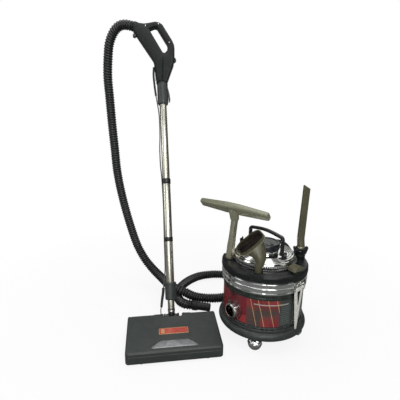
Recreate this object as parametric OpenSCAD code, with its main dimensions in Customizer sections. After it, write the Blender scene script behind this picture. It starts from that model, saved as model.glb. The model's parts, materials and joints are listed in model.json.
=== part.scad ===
// Canister vacuum cleaner with hose, two-piece wand and power nozzle.
// Millimetres. Origin on the floor under the canister axis, +Z up, front of the canister towards -Y.

/* [Canister] */
// Outer radius of the rubber bumper
bumper_r = 175; // [173:1:177]
// Outer radius of the dirt drum
drum_r = 157.5; // [157:0.5:157.5]
// Height of the drum's top rim above the floor
drum_top = 218; // [217:1:218]
// Azimuth of the hose inlet, measured from the front towards +X
inlet_az = -53; // [-60:1:-48]
// Inner radius of the hose inlet
inlet_r = 22; // [20:0.5:23]
// Azimuth of the front caster
caster_az = -18.4; // [-25:0.1:-10]
// Azimuth of the line through the carry handle's feet and the latches
handle_az = 37; // [36:1:40]
// Number of louvres around the exhaust dome
louver_count = 48; // [36:4:60]

/* [Casters] */
// Radius of a caster ball
ball_r = 22; // [21:0.5:22]
// Distance of a swivel stem from the canister axis
stem_ring_r = 128; // [126:1:128]
// Offset of a ball's centre from its swivel stem
trail = 12; // [10:1:12]
// Turn of each caster about its stem, as it stands
caster_turn = 0; // [-60:5:60]

/* [Hose] */
// Outer radius of the hose
hose_r = 22; // [19:0.5:22]

/* [Wand] */
// Outer radius of the lower tube
lower_tube_r = 17; // [17:0.5:17]
// Outer radius of the upper tube
upper_tube_r = 15.9; // [15.5:0.1:15.9]
// Backward lean of the wand in degrees
wand_lean = 20; // [15:1:25]

/* [Power nozzle] */
// Overall width of the nozzle
nozzle_w = 354; // [350:1:358]
// Height of the cover's rear top edge
nozzle_h = 73; // [72:1:75]
// Turn of the nozzle about the vertical in degrees
nozzle_turn = 8.5; // [5:0.5:10]

/* [Hidden] */
$fn = 64;
slack = 0.05;
wall = 2;

// Canister levels
pan_z = 50;
drum_z = 85;
label_low = 104.5;
deck_top = 240;
skirt_r = 164;
skirt_top = 290;
caddy_r = 168.4;
caddy_top = 312;
caddy_inner_r = 122.5;
dome_r = 122;
neck_r = 50;
cap_z = 358;
cap_top = 384;
cap_r = 56;
inlet_z = 142;
pan_r = 140;

// Casters
stem_r = 5;
stem_top = 78;
hood_in = ball_r + 1.2;
hood_out = ball_r + 3.5;
axle_r = 3;

// Handle and latches
foot_r = 83;
foot_z = 359;
handle_pin_r = 3;
latch_az = handle_az + 1;
latch_pin_r = 2.5;
latch_pin_ring = 171;
latch_pin_z = 255;

// Tools and their sockets
neck_tool_r = 15.5;
small_tool_r = 12.5;
floor_socket = [-141, -5, 305];
brush_az = -20;
brush_ring = 140;
wedge_az = 38;
wedge_ring = 147;
crevice_az = 95;
crevice_ring = 145;
socket_low = 295;

// Wand and nozzle
stand = [-373, 0, 66];
pivot_drop = 20;
pivot_y = -pivot_drop * sin(wand_lean);
pivot_z = stand[2] - pivot_drop * cos(wand_lean);
wand_skew = 0.7;
handle_half = 17;
brush_y = -178;
brush_z = 26;
brush_core_r = 15;
motor_y = -95;
motor_z = 34;
pulley_r = 7;
wheel_r = 14;
wheel_y = -64;

module at_azimuth(az, r, z) {
  rotate([0, 0, az]) translate([0, -r, z]) children();
}

module wand_frame() {
  translate(stand) rotate([0, 0, nozzle_turn]) rotate([-wand_lean, 0, 0]) children();
}

// The tubes stand a little askew in the wand frame, as their joints have play.
module tube_frame() {
  wand_frame() rotate([0, -wand_skew, 0]) children();
}

module nozzle_frame() {
  translate([stand[0], stand[1], 0]) rotate([0, 0, nozzle_turn]) children();
}

module tube(r_out, r_in, z_low, z_high) {
  translate([0, 0, z_low]) difference() {
    cylinder(r = r_out, h = z_high - z_low);
    translate([0, 0, -1]) cylinder(r = r_in, h = z_high - z_low + 2);
  }
}

module ring(r_in, r_out, z_low, z_high) {
  translate([r_in, z_low]) square([r_out - r_in, z_high - z_low]);
}

module rod_x(r, x_low, x_high) {
  translate([x_low, 0, 0]) rotate([0, 90, 0]) cylinder(r = r, h = x_high - x_low);
}

module rod_y(r, y_low, y_high) {
  translate([0, y_low, 0]) rotate([-90, 0, 0]) cylinder(r = r, h = y_high - y_low);
}

// Extrudes a profile drawn in (y, z) along x.
module extrude_x(x_low, x_high) {
  translate([x_low, 0, 0]) rotate([90, 0, 90]) linear_extrude(x_high - x_low) children();
}

// Extrudes a profile drawn in (x, z) from y_low to y_high.
module extrude_y(y_low, y_high) {
  translate([0, y_high, 0]) rotate([90, 0, 0]) linear_extrude(y_high - y_low) children();
}

function unit(v) = v / norm(v);

function spline_point(a, b, c, d, t) =
  0.5 * (2 * b + (c - a) * t + (2 * a - 5 * b + 4 * c - d) * t * t + (3 * b - a - 3 * c + d) * t * t * t);

function spline(p, steps) = let(n = len(p)) concat(
  [for (i = [0 : n - 2], k = [0 : steps - 1])
    spline_point(p[max(i - 1, 0)], p[i], p[i + 1], p[min(i + 2, n - 1)], k / steps)],
  [p[n - 1]]
);

function tangents(p) = let(n = len(p))
  [for (i = [0 : n - 1]) unit(p[min(i + 1, n - 1)] - p[max(i - 1, 0)])];

function square_to(v, t) = unit(v - (v * t) * t);

// A normal for each tangent, turned as little as possible from one to the next.
function carried_normals(t) =
  [for (i = 0, v = square_to([0.1, 1, 0.2], t[0]); i < len(t);
    i = i + 1, v = i < len(t) ? square_to(v, t[i]) : v) v];

// A closed round bar along a list of points.
module sweep(path, r, sides) {
  t = tangents(path);
  v = carried_normals(t);
  n = len(path);
  points = [for (i = [0 : n - 1], k = [0 : sides - 1])
    let(a = 360 * k / sides) path[i] + r * (cos(a) * v[i] + sin(a) * cross(t[i], v[i]))];
  walls = [for (i = [0 : n - 2], k = [0 : sides - 1])
    let(a = i * sides + k, b = i * sides + (k + 1) % sides)
    each [[a, a + sides, b], [b, a + sides, b + sides]]];
  ends = [[for (k = [0 : sides - 1]) k], [for (k = [sides - 1 : -1 : 0]) (n - 1) * sides + k]];
  polyhedron(points = points, faces = concat(walls, ends));
}

// ---------- canister ----------

module caster_places() {
  for (i = [0 : 3]) at_azimuth(caster_az + 90 * i, stem_ring_r, 0) children();
}

module base_pan() {
  color([0.13, 0.15, 0.14]) difference() {
    union() {
      rotate_extrude($fn = 128) union() {
        ring(0, pan_r, pan_z, pan_z + 4);
        ring(pan_r - 4, pan_r, pan_z, drum_z);
        ring(60, 63, pan_z, drum_z);
      }
      caster_places() translate([0, 0, pan_z]) cylinder(r = 9, h = stem_top + 4 - pan_z);
    }
    caster_places() translate([0, 0, -1]) cylinder(r = stem_r + slack, h = stem_top + 2);
  }
}

module bumper_ring() {
  bulge_r = 17.5;
  color([0.14, 0.16, 0.15]) rotate_extrude($fn = 128) union() {
    translate([bumper_r - bulge_r, pan_z + bulge_r]) circle(bulge_r);
    ring(pan_r, bumper_r - bulge_r, pan_z, pan_z + 2 * bulge_r);
    ring(drum_r + 1, 165, 78, 94);
    translate([161.75, 94]) circle(3.25);
  }
}

module dirt_drum() {
  color([0.16, 0.18, 0.17]) difference() {
    rotate_extrude($fn = 128) union() {
      ring(0, drum_r, drum_z, drum_z + wall);
      ring(drum_r - wall, drum_r, drum_z, drum_top);
    }
    at_azimuth(inlet_az, 0, inlet_z) rod_y(27, -drum_r - 10, -drum_r + 40);
  }
}

module label_wrap() {
  color([0.55, 0.07, 0.09]) difference() {
    tube(drum_r + 0.6, drum_r, label_low, drum_top - 1, $fn = 128);
    at_azimuth(inlet_az, 0, inlet_z) rod_y(27, -drum_r - 10, -drum_r + 40);
  }
}

module inlet_port() {
  flange_r = 40;
  color([0.82, 0.82, 0.80]) difference() {
    at_azimuth(inlet_az, 0, inlet_z) union() {
      rod_y(29, -drum_r - 20, -drum_r);
      rod_y(flange_r, -drum_r - 5, -drum_r + 8);
    }
    difference() {
      cylinder(r = drum_r + 0.6, h = 300, $fn = 128);
      at_azimuth(inlet_az, 0, inlet_z) rod_y(26.5, -drum_r - 30, 0);
    }
    at_azimuth(inlet_az, 0, inlet_z) rod_y(inlet_r, -drum_r - 30, 0);
  }
  color([0.82, 0.82, 0.80]) at_azimuth(inlet_az, 0, inlet_z) difference() {
    rod_y(26.5, -drum_r, -drum_r + 28);
    rod_y(inlet_r, -drum_r - 30, 0);
  }
}

module canister_screws() {
  color([0.8, 0.8, 0.8]) at_azimuth(inlet_az, 0, inlet_z)
    for (a = [45 : 90 : 315])
      translate([34.5 * cos(a), 0, 34.5 * sin(a)]) rod_y(3, -drum_r - 7.2, -drum_r - 5);
}

module motor_deck() {
  lip_r = drum_r + 0.7;
  color([0.20, 0.22, 0.20]) rotate_extrude($fn = 128)
    polygon([[40, deck_top - 4], [148, deck_top - 4], [148, drum_top], [lip_r, drum_top],
      [lip_r, drum_top - 1], [160.5, drum_top - 1], [160.5, deck_top], [40, deck_top]]);
}

module filter_cone() {
  rim_r = drum_r - wall - 0.1;
  color([0.86, 0.82, 0.70]) rotate_extrude($fn = 96)
    polygon([[0, 108], [29, 108], [138.5, drum_top - 2], [rim_r, drum_top - 2], [rim_r, drum_top],
      [137, drum_top], [28, 110], [0, 110]]);
}

module motor_skirt() {
  bead_r = 2.6;
  color([0.85, 0.85, 0.84]) rotate_extrude($fn = 128) union() {
    ring(skirt_r - wall, skirt_r, deck_top, skirt_top);
    ring(150, skirt_r, deck_top, deck_top + 1.5);
    ring(skirt_r - 1, skirt_r + 2, deck_top, deck_top + 4);
    translate([skirt_r + 1, 262]) circle(bead_r);
    translate([skirt_r + 1, 280]) circle(bead_r);
  }
}

module skirt_envelope() {
  rotate_extrude($fn = 128) union() {
    ring(0, skirt_r, deck_top - 30, skirt_top + wall);
    ring(0, skirt_r + 2, deck_top, deck_top + 4);
    translate([skirt_r + 1, 262]) circle(2.6);
    translate([skirt_r + 1, 280]) circle(2.6);
  }
}

module motor_housing() {
  bore = 4 + slack;
  color([0.6, 0.6, 0.58]) rotate_extrude($fn = 96) union() {
    ring(40, 93, deck_top, 243);
    ring(90, 93, 243, 268);
    ring(bore, 93, 264, 268);
    ring(bore, 10, 264, 274);
    ring(50, 53, 268, 330);
    ring(bore, 53, 326, 330);
    ring(bore, 10, 322, 334);
  }
}

module fan_rotor() {
  color([0.75, 0.75, 0.76]) union() {
    translate([0, 0, 247]) cylinder(r = 4, h = 86);
    translate([0, 0, 247]) cylinder(r = 85, h = 2.5);
    translate([0, 0, 247]) cylinder(r = 12, h = 14);
    for (i = [0 : 7]) rotate([0, 0, 45 * i]) translate([10, -1, 248]) cube([74, 2, 12]);
    translate([0, 0, 282]) cylinder(r = 30, h = 34);
  }
}

module dome_profile(inset) {
  polygon([[0, skirt_top], [dome_r - inset, skirt_top], [dome_r - inset, 334 - inset / 2],
    [118 - inset / 2, 340 - inset], [60 - inset / 2, 346 - inset], [neck_r - inset, 346 - inset],
    [neck_r - inset, cap_z + inset], [0, cap_z + inset]]);
}

module dome_envelope() {
  rotate_extrude($fn = 96) dome_profile(0);
}

module louver_dome() {
  color([0.85, 0.85, 0.84]) difference() {
    rotate_extrude($fn = 96) difference() {
      union() {
        intersection() {
          dome_profile(0);
          ring(0, 200, skirt_top, cap_z);
        }
        ring(dome_r - wall, skirt_r - 0.1, skirt_top, skirt_top + 1.5);
      }
      intersection() {
        dome_profile(wall);
        ring(-1, 200, 0, cap_z + 1);
      }
    }
    for (i = [0 : louver_count - 1])
      rotate([0, 0, 360 * i / louver_count]) translate([dome_r - 6, -2.5, 314]) cube([12, 5, 17]);
  }
}

module motor_cap() {
  color([0.10, 0.11, 0.11]) difference() {
    rotate_extrude($fn = 96)
      polygon([[44, cap_z], [cap_r, cap_z], [cap_r, cap_top - 6], [cap_r - 4, cap_top], [0, cap_top],
        [0, cap_top - 3], [cap_r - 6, cap_top - 3], [cap_r - 3, cap_top - 7],
        [cap_r - 3, cap_z + 2], [44, cap_z + 2]]);
    at_azimuth(20, 32, cap_top - 4) translate([-13, -7, 0]) cube([26, 14, 10]);
  }
}

module power_switch() {
  color([0.07, 0.07, 0.08]) at_azimuth(20, 32, cap_top - 6) translate([-12, -6, 0]) cube([24, 12, 8.5]);
}

module tool_bosses() {
  intersection() {
    union() {
      translate(floor_socket) floor_lean() translate([0, 0, -20]) cylinder(r = 19.5, h = 40);
      at_azimuth(brush_az, brush_ring, socket_low) cylinder(r = 19.5, h = 30);
      at_azimuth(wedge_az, wedge_ring, socket_low) cylinder(r = 16, h = 30);
      at_azimuth(crevice_az, crevice_ring, socket_low) cylinder(r = 19, h = 30);
    }
    tube(165.5, caddy_inner_r, socket_low, caddy_top, $fn = 128);
  }
  at_azimuth(brush_az, 0, 0) translate([-22, -170.5, 287]) cube([44, 20, 31]);
}

module floor_lean() {
  rotate([1.4, 5.1, 0]) children();
}

// The caddy is a C: it stays open at the rear of the dome.
module rear_opening() {
  translate([0, 0, 280]) linear_extrude(40)
    polygon([[0, 0], [240, 97], [240, 260], [-247, 260], [-247, 80]]);
}

module tool_caddy() {
  color([0.12, 0.13, 0.13]) difference() {
    union() {
      rotate_extrude($fn = 128)
        polygon([[165.2, 286], [caddy_r, 286], [caddy_r, 306], [166.5, 310], [162.5, caddy_top],
          [caddy_inner_r, caddy_top], [caddy_inner_r, 299], [caddy_inner_r + 2, 299],
          [caddy_inner_r + 2, 309], [162, 309], [165.2, 305]]);
      difference() {
        tool_bosses();
        skirt_envelope();
      }
    }
    rear_opening();
    translate(floor_socket) floor_lean() translate([0, 0, -30]) cylinder(r = neck_tool_r + slack, h = 60);
    at_azimuth(brush_az, brush_ring, 280) cylinder(r = neck_tool_r + slack, h = 60);
    at_azimuth(wedge_az, wedge_ring, 280) cylinder(r = small_tool_r + slack, h = 60);
    at_azimuth(crevice_az, crevice_ring, 280) cylinder(r = neck_tool_r + slack, h = 60);
  }
}

module crevice_clip() {
  color([0.09, 0.10, 0.10]) at_azimuth(crevice_az, crevice_ring, caddy_top) difference() {
    union() {
      cylinder(r = 19.5, h = 30);
      translate([0, 0, 30]) cylinder(r1 = 19.5, r2 = 24, h = 12);
      translate([-27, -5, 28]) cube([54, 10, 18]);
    }
    translate([0, 0, -1]) cylinder(r = neck_tool_r + slack, h = 60);
  }
}

// ---------- carry handle and latches ----------

module handle_brackets() {
  color([0.08, 0.09, 0.09]) difference() {
    rotate([0, 0, handle_az]) for (turn = [0, 180]) rotate([0, 0, turn]) {
      translate([-11, foot_r + 8, 338]) cube([22, 8, foot_z - 338]);
      translate([0, 0, foot_z]) rod_y(11, foot_r + 8, foot_r + 16);
      translate([0, 0, foot_z]) rod_y(handle_pin_r, foot_r - 7, foot_r + 9);
    }
    dome_envelope();
  }
}

module carry_handle() {
  grip = 14;
  half_span = foot_r + 7;
  arch = 8;
  top = 424 - foot_z;
  outer = concat([[half_span, -9]],
    [for (a = [0 : 15 : 90]) [half_span - 18 + 18 * cos(a), top - 18 + 18 * sin(a)]],
    [for (y = [60 : -20 : -60]) [y, top + arch * cos(y * 90 / 72)]],
    [for (a = [90 : 15 : 180]) [-half_span + 18 + 18 * cos(a), top - 18 + 18 * sin(a)]],
    [[-half_span, -9], [-half_span + 14, -9]],
    [for (a = [180 : -30 : 90]) [-half_span + 24 + 10 * cos(a), top - grip - 10 + 10 * sin(a)]],
    [for (y = [-54 : 18 : 54]) [y, top - grip + arch * cos(y * 90 / 72)]],
    [for (a = [90 : -30 : 0]) [half_span - 24 + 10 * cos(a), top - grip - 10 + 10 * sin(a)]],
    [[half_span - 14, -9]]);
  color([0.08, 0.09, 0.09]) translate([0, 0, foot_z]) rotate([0, 0, handle_az]) difference() {
    extrude_x(-7, 7) polygon(outer);
    rod_y(handle_pin_r + slack, -100, 100);
  }
}

module latch_brackets() {
  color([0.72, 0.72, 0.68]) difference() {
    for (turn = [0, 180]) at_azimuth(latch_az + turn, 0, 0) {
      for (x = [-30, 27]) translate([x, -175, 246]) cube([3, 20, 16]);
      translate([0, -latch_pin_ring, latch_pin_z]) rod_x(latch_pin_r, -30, 30);
      for (x = [-12, 10]) translate([x, -171, 266]) cube([2, 16, 2.5]);
      translate([-12, -171, 266]) cube([24, 2.5, 2.5]);
    }
    skirt_envelope();
  }
}

module latch_lever(az) {
  top_half = 24;
  tip_half = 5;
  color([0.80, 0.78, 0.70]) at_azimuth(az, 0, 0) difference() {
    union() {
      intersection() {
        translate([-30, -171, 85]) cube([60, 3.6, latch_pin_z - 85]);
        extrude_y(-180, -160)
          polygon([[-tip_half, 88], [-2, 85], [2, 85], [tip_half, 88], [top_half, 236],
            [top_half, latch_pin_z], [-top_half, latch_pin_z], [-top_half, 236]]);
      }
      translate([0, -latch_pin_ring, latch_pin_z]) rod_x(5.5, -top_half, top_half);
    }
    translate([0, -latch_pin_ring, latch_pin_z]) rod_x(latch_pin_r + slack, -34, 34);
  }
}

module latch_lever_right() { latch_lever(latch_az); }
module latch_lever_left() { latch_lever(latch_az + 180); }

module cord_hook() {
  shelf = skirt_top + 1.5;
  color([0.08, 0.09, 0.09]) {
    difference() {
      translate([-91, 69, 330]) cube([12, 12, 46]);
      dome_envelope();
    }
    at_azimuth(150, 0, 0) {
      translate([-8, -152, shelf]) cube([16, 8, caddy_top + 4 - shelf]);
      translate([-8, -192, caddy_top]) cube([16, 48, 4]);
      translate([-8, -192, caddy_top + 4]) cube([16, 4, 14]);
    }
  }
}

module power_cord() {
  coil_z = 259;
  coil_r = 67.2;
  bundle_r = 8.8;
  color([0.06, 0.06, 0.06]) at_azimuth(150, 0, 0) {
    translate([0, -178.6, coil_z]) rotate([90, 0, 0]) rotate_extrude($fn = 48)
      translate([coil_r, 0]) circle(bundle_r, $fn = 32);
    translate([40, 0, coil_z]) rod_y(5, -179, -168.5);
    translate([-16, -190.6, coil_z - 118]) cube([24, 22, 34]);
    for (x = [-11, 1]) translate([x, -182, coil_z - 134]) cube([2, 6, 16]);
    translate([-4, -179, coil_z - 84]) cylinder(r = 3.5, h = 20);
  }
}

// ---------- casters ----------

module caster_frame(i) {
  at_azimuth(caster_az + 90 * i, stem_ring_r, 0) rotate([0, 0, caster_turn]) children();
}

module caster_hood(i) {
  color([0.83, 0.83, 0.82]) caster_frame(i) {
    difference() {
      union() {
        translate([0, -trail, ball_r]) sphere(r = hood_out);
        cylinder(r = 8, h = 48.5);
        cylinder(r = stem_r, h = stem_top);
      }
      translate([0, -trail, ball_r]) sphere(r = hood_in);
      translate([0, -trail, ball_r]) rotate([30, 0, 0]) translate([-40, -40, -84]) cube([80, 80, 80]);
      translate([-10, -5, -1]) cube([20, 20, 32]);
    }
    translate([0, -trail, ball_r]) rod_x(axle_r, -hood_in - 1, hood_in + 1);
  }
}

module caster_ball(i) {
  color([0.10, 0.11, 0.11]) caster_frame(i)
    translate([0, -trail, ball_r]) difference() {
      sphere(r = ball_r);
      rod_x(axle_r + slack, -30, 30);
    }
}

module caster_hood_1() { caster_hood(0); }
module caster_hood_2() { caster_hood(1); }
module caster_hood_3() { caster_hood(2); }
module caster_hood_4() { caster_hood(3); }
module caster_ball_1() { caster_ball(0); }
module caster_ball_2() { caster_ball(1); }
module caster_ball_3() { caster_ball(2); }
module caster_ball_4() { caster_ball(3); }

// ---------- stored tools ----------

head_at = [-132, -10, 516];
head_slots = [-8, 3];

// The head lies on its side, with its bristles towards the rear.
module floor_head() {
  translate(head_at) rotate([0, 1.2, -38.5]) rotate([-50, 0, 0]) children();
}

module floor_tool() {
  color([0.45, 0.44, 0.36]) difference() {
    union() {
      translate(floor_socket) floor_lean() {
        translate([0, 0, -10]) cylinder(r = neck_tool_r, h = 20);
        translate([0, 0, 10]) cylinder(r1 = neck_tool_r - 0.2, r2 = 13.5, h = 180);
      }
      hull() {
        translate(floor_socket) floor_lean() translate([0, 0, 172]) cylinder(r = 15, h = 4, $fn = 32);
        floor_head() rod_x(14, -21, 21, $fn = 32);
      }
      floor_head() hull() {
        for (side = [-1, 1], y = [-5, 5]) translate([side * 147, y, 1]) rod_x(7, -3, 3, $fn = 32);
        for (y = [-12, 12]) translate([0, y, -1]) rod_x(10.5, -32, 32, $fn = 32);
      }
    }
    floor_head() for (y = head_slots) translate([-120, y, 4]) cube([240, 5, 20]);
  }
}

module floor_tool_bristles() {
  color([0.10, 0.09, 0.08]) floor_head() for (y = head_slots) translate([-120, y, 4]) cube([240, 5, 7.5]);
}

mouth_tilt = 45.5;
mouth_turn = -140.7;
mouth_roll = -24.5;
mouth_stretch = 1.95;
brush_neck = [brush_ring * sin(brush_az), -brush_ring * cos(brush_az), 338];
brush_lip = [-82, -115, 426];

module brush_mouth() {
  translate(brush_lip) rotate([0, mouth_tilt, mouth_turn]) rotate([0, 0, mouth_roll]) children();
}

// One cross-section of the horn, from the round neck (share 0) to the oblong collar (share 1).
module horn_section(share) {
  bend = brush_neck + [1, 0, 36];
  facing = [sin(mouth_tilt) * cos(mouth_turn), sin(mouth_tilt) * sin(mouth_turn), cos(mouth_tilt)];
  back = brush_lip - 22 * facing;
  at = (1 - share) * (1 - share) * brush_neck + 2 * share * (1 - share) * bend + share * share * back;
  translate(at) rotate([0, mouth_tilt * share * share, mouth_turn]) rotate([0, 0, mouth_roll])
    scale([1 + 0.9 * share * share, 1, 1]) cylinder(r = 15.2 + 8 * share, h = 1.5, $fn = 32);
}

module mouth_ring(r, low, height) {
  brush_mouth() translate([0, 0, low]) scale([mouth_stretch, 1, 1]) cylinder(r = r, h = height, $fn = 48);
}

module dusting_brush() {
  steps = 8;
  color([0.42, 0.41, 0.33]) difference() {
    union() {
      at_azimuth(brush_az, brush_ring, 297) cylinder(r = neck_tool_r, h = 43);
      for (i = [0 : steps - 1]) hull() {
        horn_section(i / steps);
        horn_section((i + 1) / steps);
      }
      hull() {
        mouth_ring(24, -24, 2);
        mouth_ring(29, -2, 2);
      }
    }
    mouth_ring(25.5, -16, 30);
  }
}

module dusting_bristles() {
  color([0.12, 0.10, 0.08]) difference() {
    mouth_ring(25.2, -15.9, 15);
    mouth_ring(17.5, -11.9, 30);
  }
}

module crevice_tool() {
  color([0.36, 0.35, 0.27]) at_azimuth(crevice_az, crevice_ring, 0) {
    translate([0, 0, 297]) cylinder(r = neck_tool_r, h = 62);
    rotate([0, 0, -crevice_az]) difference() {
      hull() {
        translate([0, 0, 357]) cylinder(r = neck_tool_r - 1.5, h = 2, $fn = 32);
        translate([-14, -8, 392]) cube([28, 16, 2]);
        translate([-7, -7, 603]) cube([26, 14, 2]);
      }
      translate([-9, -20, 605]) rotate([0, 36, 0]) cube([60, 40, 40]);
      translate([-14.5, -10, 385]) cube([3, 20, 8]);
    }
  }
}

module upholstery_tool() {
  color([0.38, 0.36, 0.25]) at_azimuth(wedge_az, wedge_ring, 0) {
    translate([0, 0, 297]) cylinder(r = small_tool_r, h = 18);
    translate([0, 0, 315]) extrude_y(-17, 17)
      polygon([[-25, 0], [24, 0], [28, 10], [6, 20], [-18, 14]]);
  }
}

// ---------- hose ----------

// Rises from the grip, falls to the floor, loops behind the canister and ends behind the nozzle.
hose_route = [
  [-571, 405, 1247], [-605, 409, 1254], [-634, 413, 1249], [-661, 417, 1226], [-682, 420, 1186],
  [-693, 424, 1138], [-702, 428, 1038], [-698, 430, 930], [-693, 430, 817], [-686, 430, 701],
  [-678, 428, 582], [-658, 424, 459], [-627, 414, 333], [-587, 393, 215], [-546, 363, 150],
  [-503, 333, 108], [-451, 286, 80], [-400, 222, 69], [-360, 184, 69], [-325, 178, 58],
  [-288, 182, 37], [-240, 186, 25], [-190, 189, hose_r + 0.3], [-130, 201, hose_r],
  [-60, 232, hose_r], [2, 290, hose_r], [14, 352, hose_r], [-18, 398, hose_r],
  [-70, 424, hose_r], [-131, 437, hose_r], [-199, 436, hose_r], [-262, 412, hose_r],
  [-312, 364, hose_r], [-345, 308, hose_r], [-361, 252, hose_r], [-360, 198, hose_r],
  [-344, 156, hose_r], [-319, 134, hose_r], [-303.5, 130.5, hose_r], [-288, 127, hose_r]
];
cuff_az = atan2(-7, 31);

module hose() {
  color([0.09, 0.10, 0.10]) sweep(spline(hose_route, 3), hose_r, 12);
}

module hose_end_cuff() {
  color([0.12, 0.13, 0.13]) translate([-288, 127, hose_r]) rotate([0, 90, cuff_az]) difference() {
    union() {
      translate([0, 0, 0.1]) cylinder(r = hose_r, h = 21.9);
      translate([0, 0, 22]) cylinder(r = 19.4, h = 6);
      translate([0, 0, 28]) cylinder(r = inlet_r - 4.1, h = 54);
    }
    translate([0, 0, 2]) cylinder(r = 15, h = 100);
  }
}

// ---------- handle ----------

handle_outline = [
  [-39, 992.5], [-38.5, 1010], [-45, 1082], [-50, 1096], [-134, 1230], [-137, 1236], [-123, 1274],
  [-109, 1268], [-87, 1266], [-64, 1271], [-38, 1278], [-20, 1275], [-5, 1266], [38, 1190],
  [45, 1172], [47, 1155], [46, 1118], [41, 1077], [10, 992.5]
];
finger_hole = [
  [-65, 1240], [-40, 1253], [-30, 1252], [14, 1174], [16, 1160], [12, 1142], [2, 1131], [-6, 1132]
];
knob_at = [-130, 0, 1212];
rocker_at = [39, 0, 1103];
release_at = [10, 0, 977];

module air_duct() {
  turn_at = [-12, 0, 1104];
  mouth = [-130, 0, 1255];
  run = mouth - turn_at;
  translate([-14, 0, 985]) rotate([0, 1, 0]) cylinder(r = 13, h = 120);
  translate(turn_at) sphere(r = 14.2);
  translate(turn_at) rotate([0, atan2(run[0], run[2]), 0]) cylinder(r = 13, h = norm(run) + 20);
}

module handle_shell(y_low, y_high) {
  color([0.11, 0.12, 0.12]) wand_frame() difference() {
    extrude_y(y_low, y_high) difference() {
      polygon(handle_outline);
      polygon(finger_hole);
    }
    air_duct();
    translate(knob_at) rod_y(8.6, -9, 9);
    translate(rocker_at) rod_y(14.4, -6.5, 6.5);
    for (p = screw_points()) translate([p[0], 0, p[1]]) rod_y(2.5, -40, -9);
  }
}

function screw_points() = [[-81, 1253], [-23, 1264], [23, 1178]];

module handle_shell_front() { handle_shell(-handle_half, 0); }
module handle_shell_rear() { handle_shell(0, handle_half); }

module handle_screws() {
  color([0.7, 0.7, 0.7]) wand_frame() for (p = screw_points())
    translate([p[0], 0, p[1]]) rod_y(2.5, -16.5, -9);
}

module suction_knob() {
  color([0.2, 0.2, 0.2]) wand_frame() translate(knob_at) rod_y(8, -8, 8);
}

module handle_switch() {
  color([0.05, 0.05, 0.05]) wand_frame() translate(rocker_at) rod_y(14, -6, 6);
}

module wand_release() {
  color([0.12, 0.13, 0.13]) wand_frame() extrude_y(-6, 6)
    polygon([[8.8, 983], [19, 930], [21.5, 913], [14.4, 899]]);
}

// ---------- wand ----------

module upper_wand() {
  color([0.78, 0.77, 0.70]) tube_frame() tube(upper_tube_r, upper_tube_r - 1.2, 515, 985);
}

module lower_wand() {
  color([0.78, 0.77, 0.70]) tube_frame() tube(lower_tube_r, upper_tube_r + 0.1, 70, 562);
}

module wand_collars() {
  color([0.10, 0.11, 0.11]) tube_frame() {
    tube(18.3, lower_tube_r, 292, 311);
    tube(18.8, lower_tube_r, 539, 562);
    tube(24, lower_tube_r, 70, 122);
    tube(24, 14, 51, 70);
  }
  color([0.10, 0.11, 0.11]) difference() {
    tube_frame() tube(23.8, upper_tube_r, 893, 992);
    wand_frame() extrude_y(-6.6, 6.6) polygon([[7.4, 984], [7.4, 896], [30, 896], [30, 984]]);
  }
}

cord_route = [
  [-48, 0, 1066], [-51, 0, 1030], [-50, 0, 985], [-45, 0, 935], [-40, 0, 888], [-35, 0, 850], [-34, 0, 760],
  [-39, 0, 690], [-38, 0, 620], [-32, 0, 560], [-29, 0, 440], [-28, 0, 300], [-28, 0, 180],
  [-31, 0, 120], [-32, 0, 79], [-39, 0, 45], [-42, 0, 23], [-40, 0, 8]
];

module wand_cord() {
  color([0.06, 0.06, 0.06]) wand_frame() sweep(spline(cord_route, 3), 3.5, 8);
}

module neck_tube() {
  color([0.78, 0.77, 0.70]) tube_frame() tube(14, 12.5, -3, 70);
}

module neck_knuckle() {
  color([0.07, 0.07, 0.07]) wand_frame() translate([0, 0, -pivot_drop]) difference() {
    union() {
      rod_x(13, -23, 23);
      rotate([0, -wand_skew, 0]) cylinder(r = 15, h = pivot_drop - 3.1);
    }
    rod_x(4 + slack, -30, 30);
  }
}

// ---------- power nozzle ----------

module cover_side(inset, lift) {
  front = -218 + inset;
  back = -14 - inset;
  polygon([[front + 2, 6], [front, 42], [front + 6, 50 - inset + lift], [-24, nozzle_h - inset + lift],
    [back, nozzle_h - 5 - inset + lift], [back, 6]]);
}

module cover_plan(inset) {
  r = 14;
  half = nozzle_w / 2 - inset;
  linear_extrude(120) union() {
    translate([-half + r, -218 + inset]) square([2 * half - 2 * r, 210 - 2 * inset]);
    translate([-half, -218 + inset + r]) square([2 * half, 210 - 2 * inset - 2 * r]);
    for (x = [-1, 1], y = [-218 + inset + r, -8 - inset - r])
      translate([x * (half - r), y]) circle(r);
  }
}

module cover_solid(inset, lift) {
  intersection() {
    extrude_x(-200, 200) cover_side(inset, lift);
    cover_plan(inset);
  }
}

module top_layer(low, high) {
  difference() {
    extrude_x(-200, 200) cover_side(0, high);
    extrude_x(-201, 201) cover_side(0, low);
    translate([-210, -300, -1]) cube([420, 400, 45]);
  }
}

module lens_plan() {
  linear_extrude(120) polygon([[-56, -164], [56, -164], [104, -202], [-104, -202]]);
}

module badge_plan() {
  linear_extrude(120) translate([-55, -135]) square([112, 31]);
}

module nozzle_cover() {
  color([0.20, 0.22, 0.21]) nozzle_frame() difference() {
    union() {
      cover_solid(0, 0);
      intersection() {
        extrude_x(-72, 76) cover_side(0, 2);
        translate([-100, -60, 40]) cube([200, 48, 60]);
      }
    }
    intersection() {
      cover_solid(3, 0);
      translate([-210, -300, -1]) cube([420, 400, 100]);
    }
    translate([-172, -213, 4]) cube([344, 194, 5.1]);
    translate([-33, -37, -1]) cube([74, 60, 120]);
    intersection() {
      top_layer(-1.5, 4);
      lens_plan();
    }
  }
}

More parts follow.
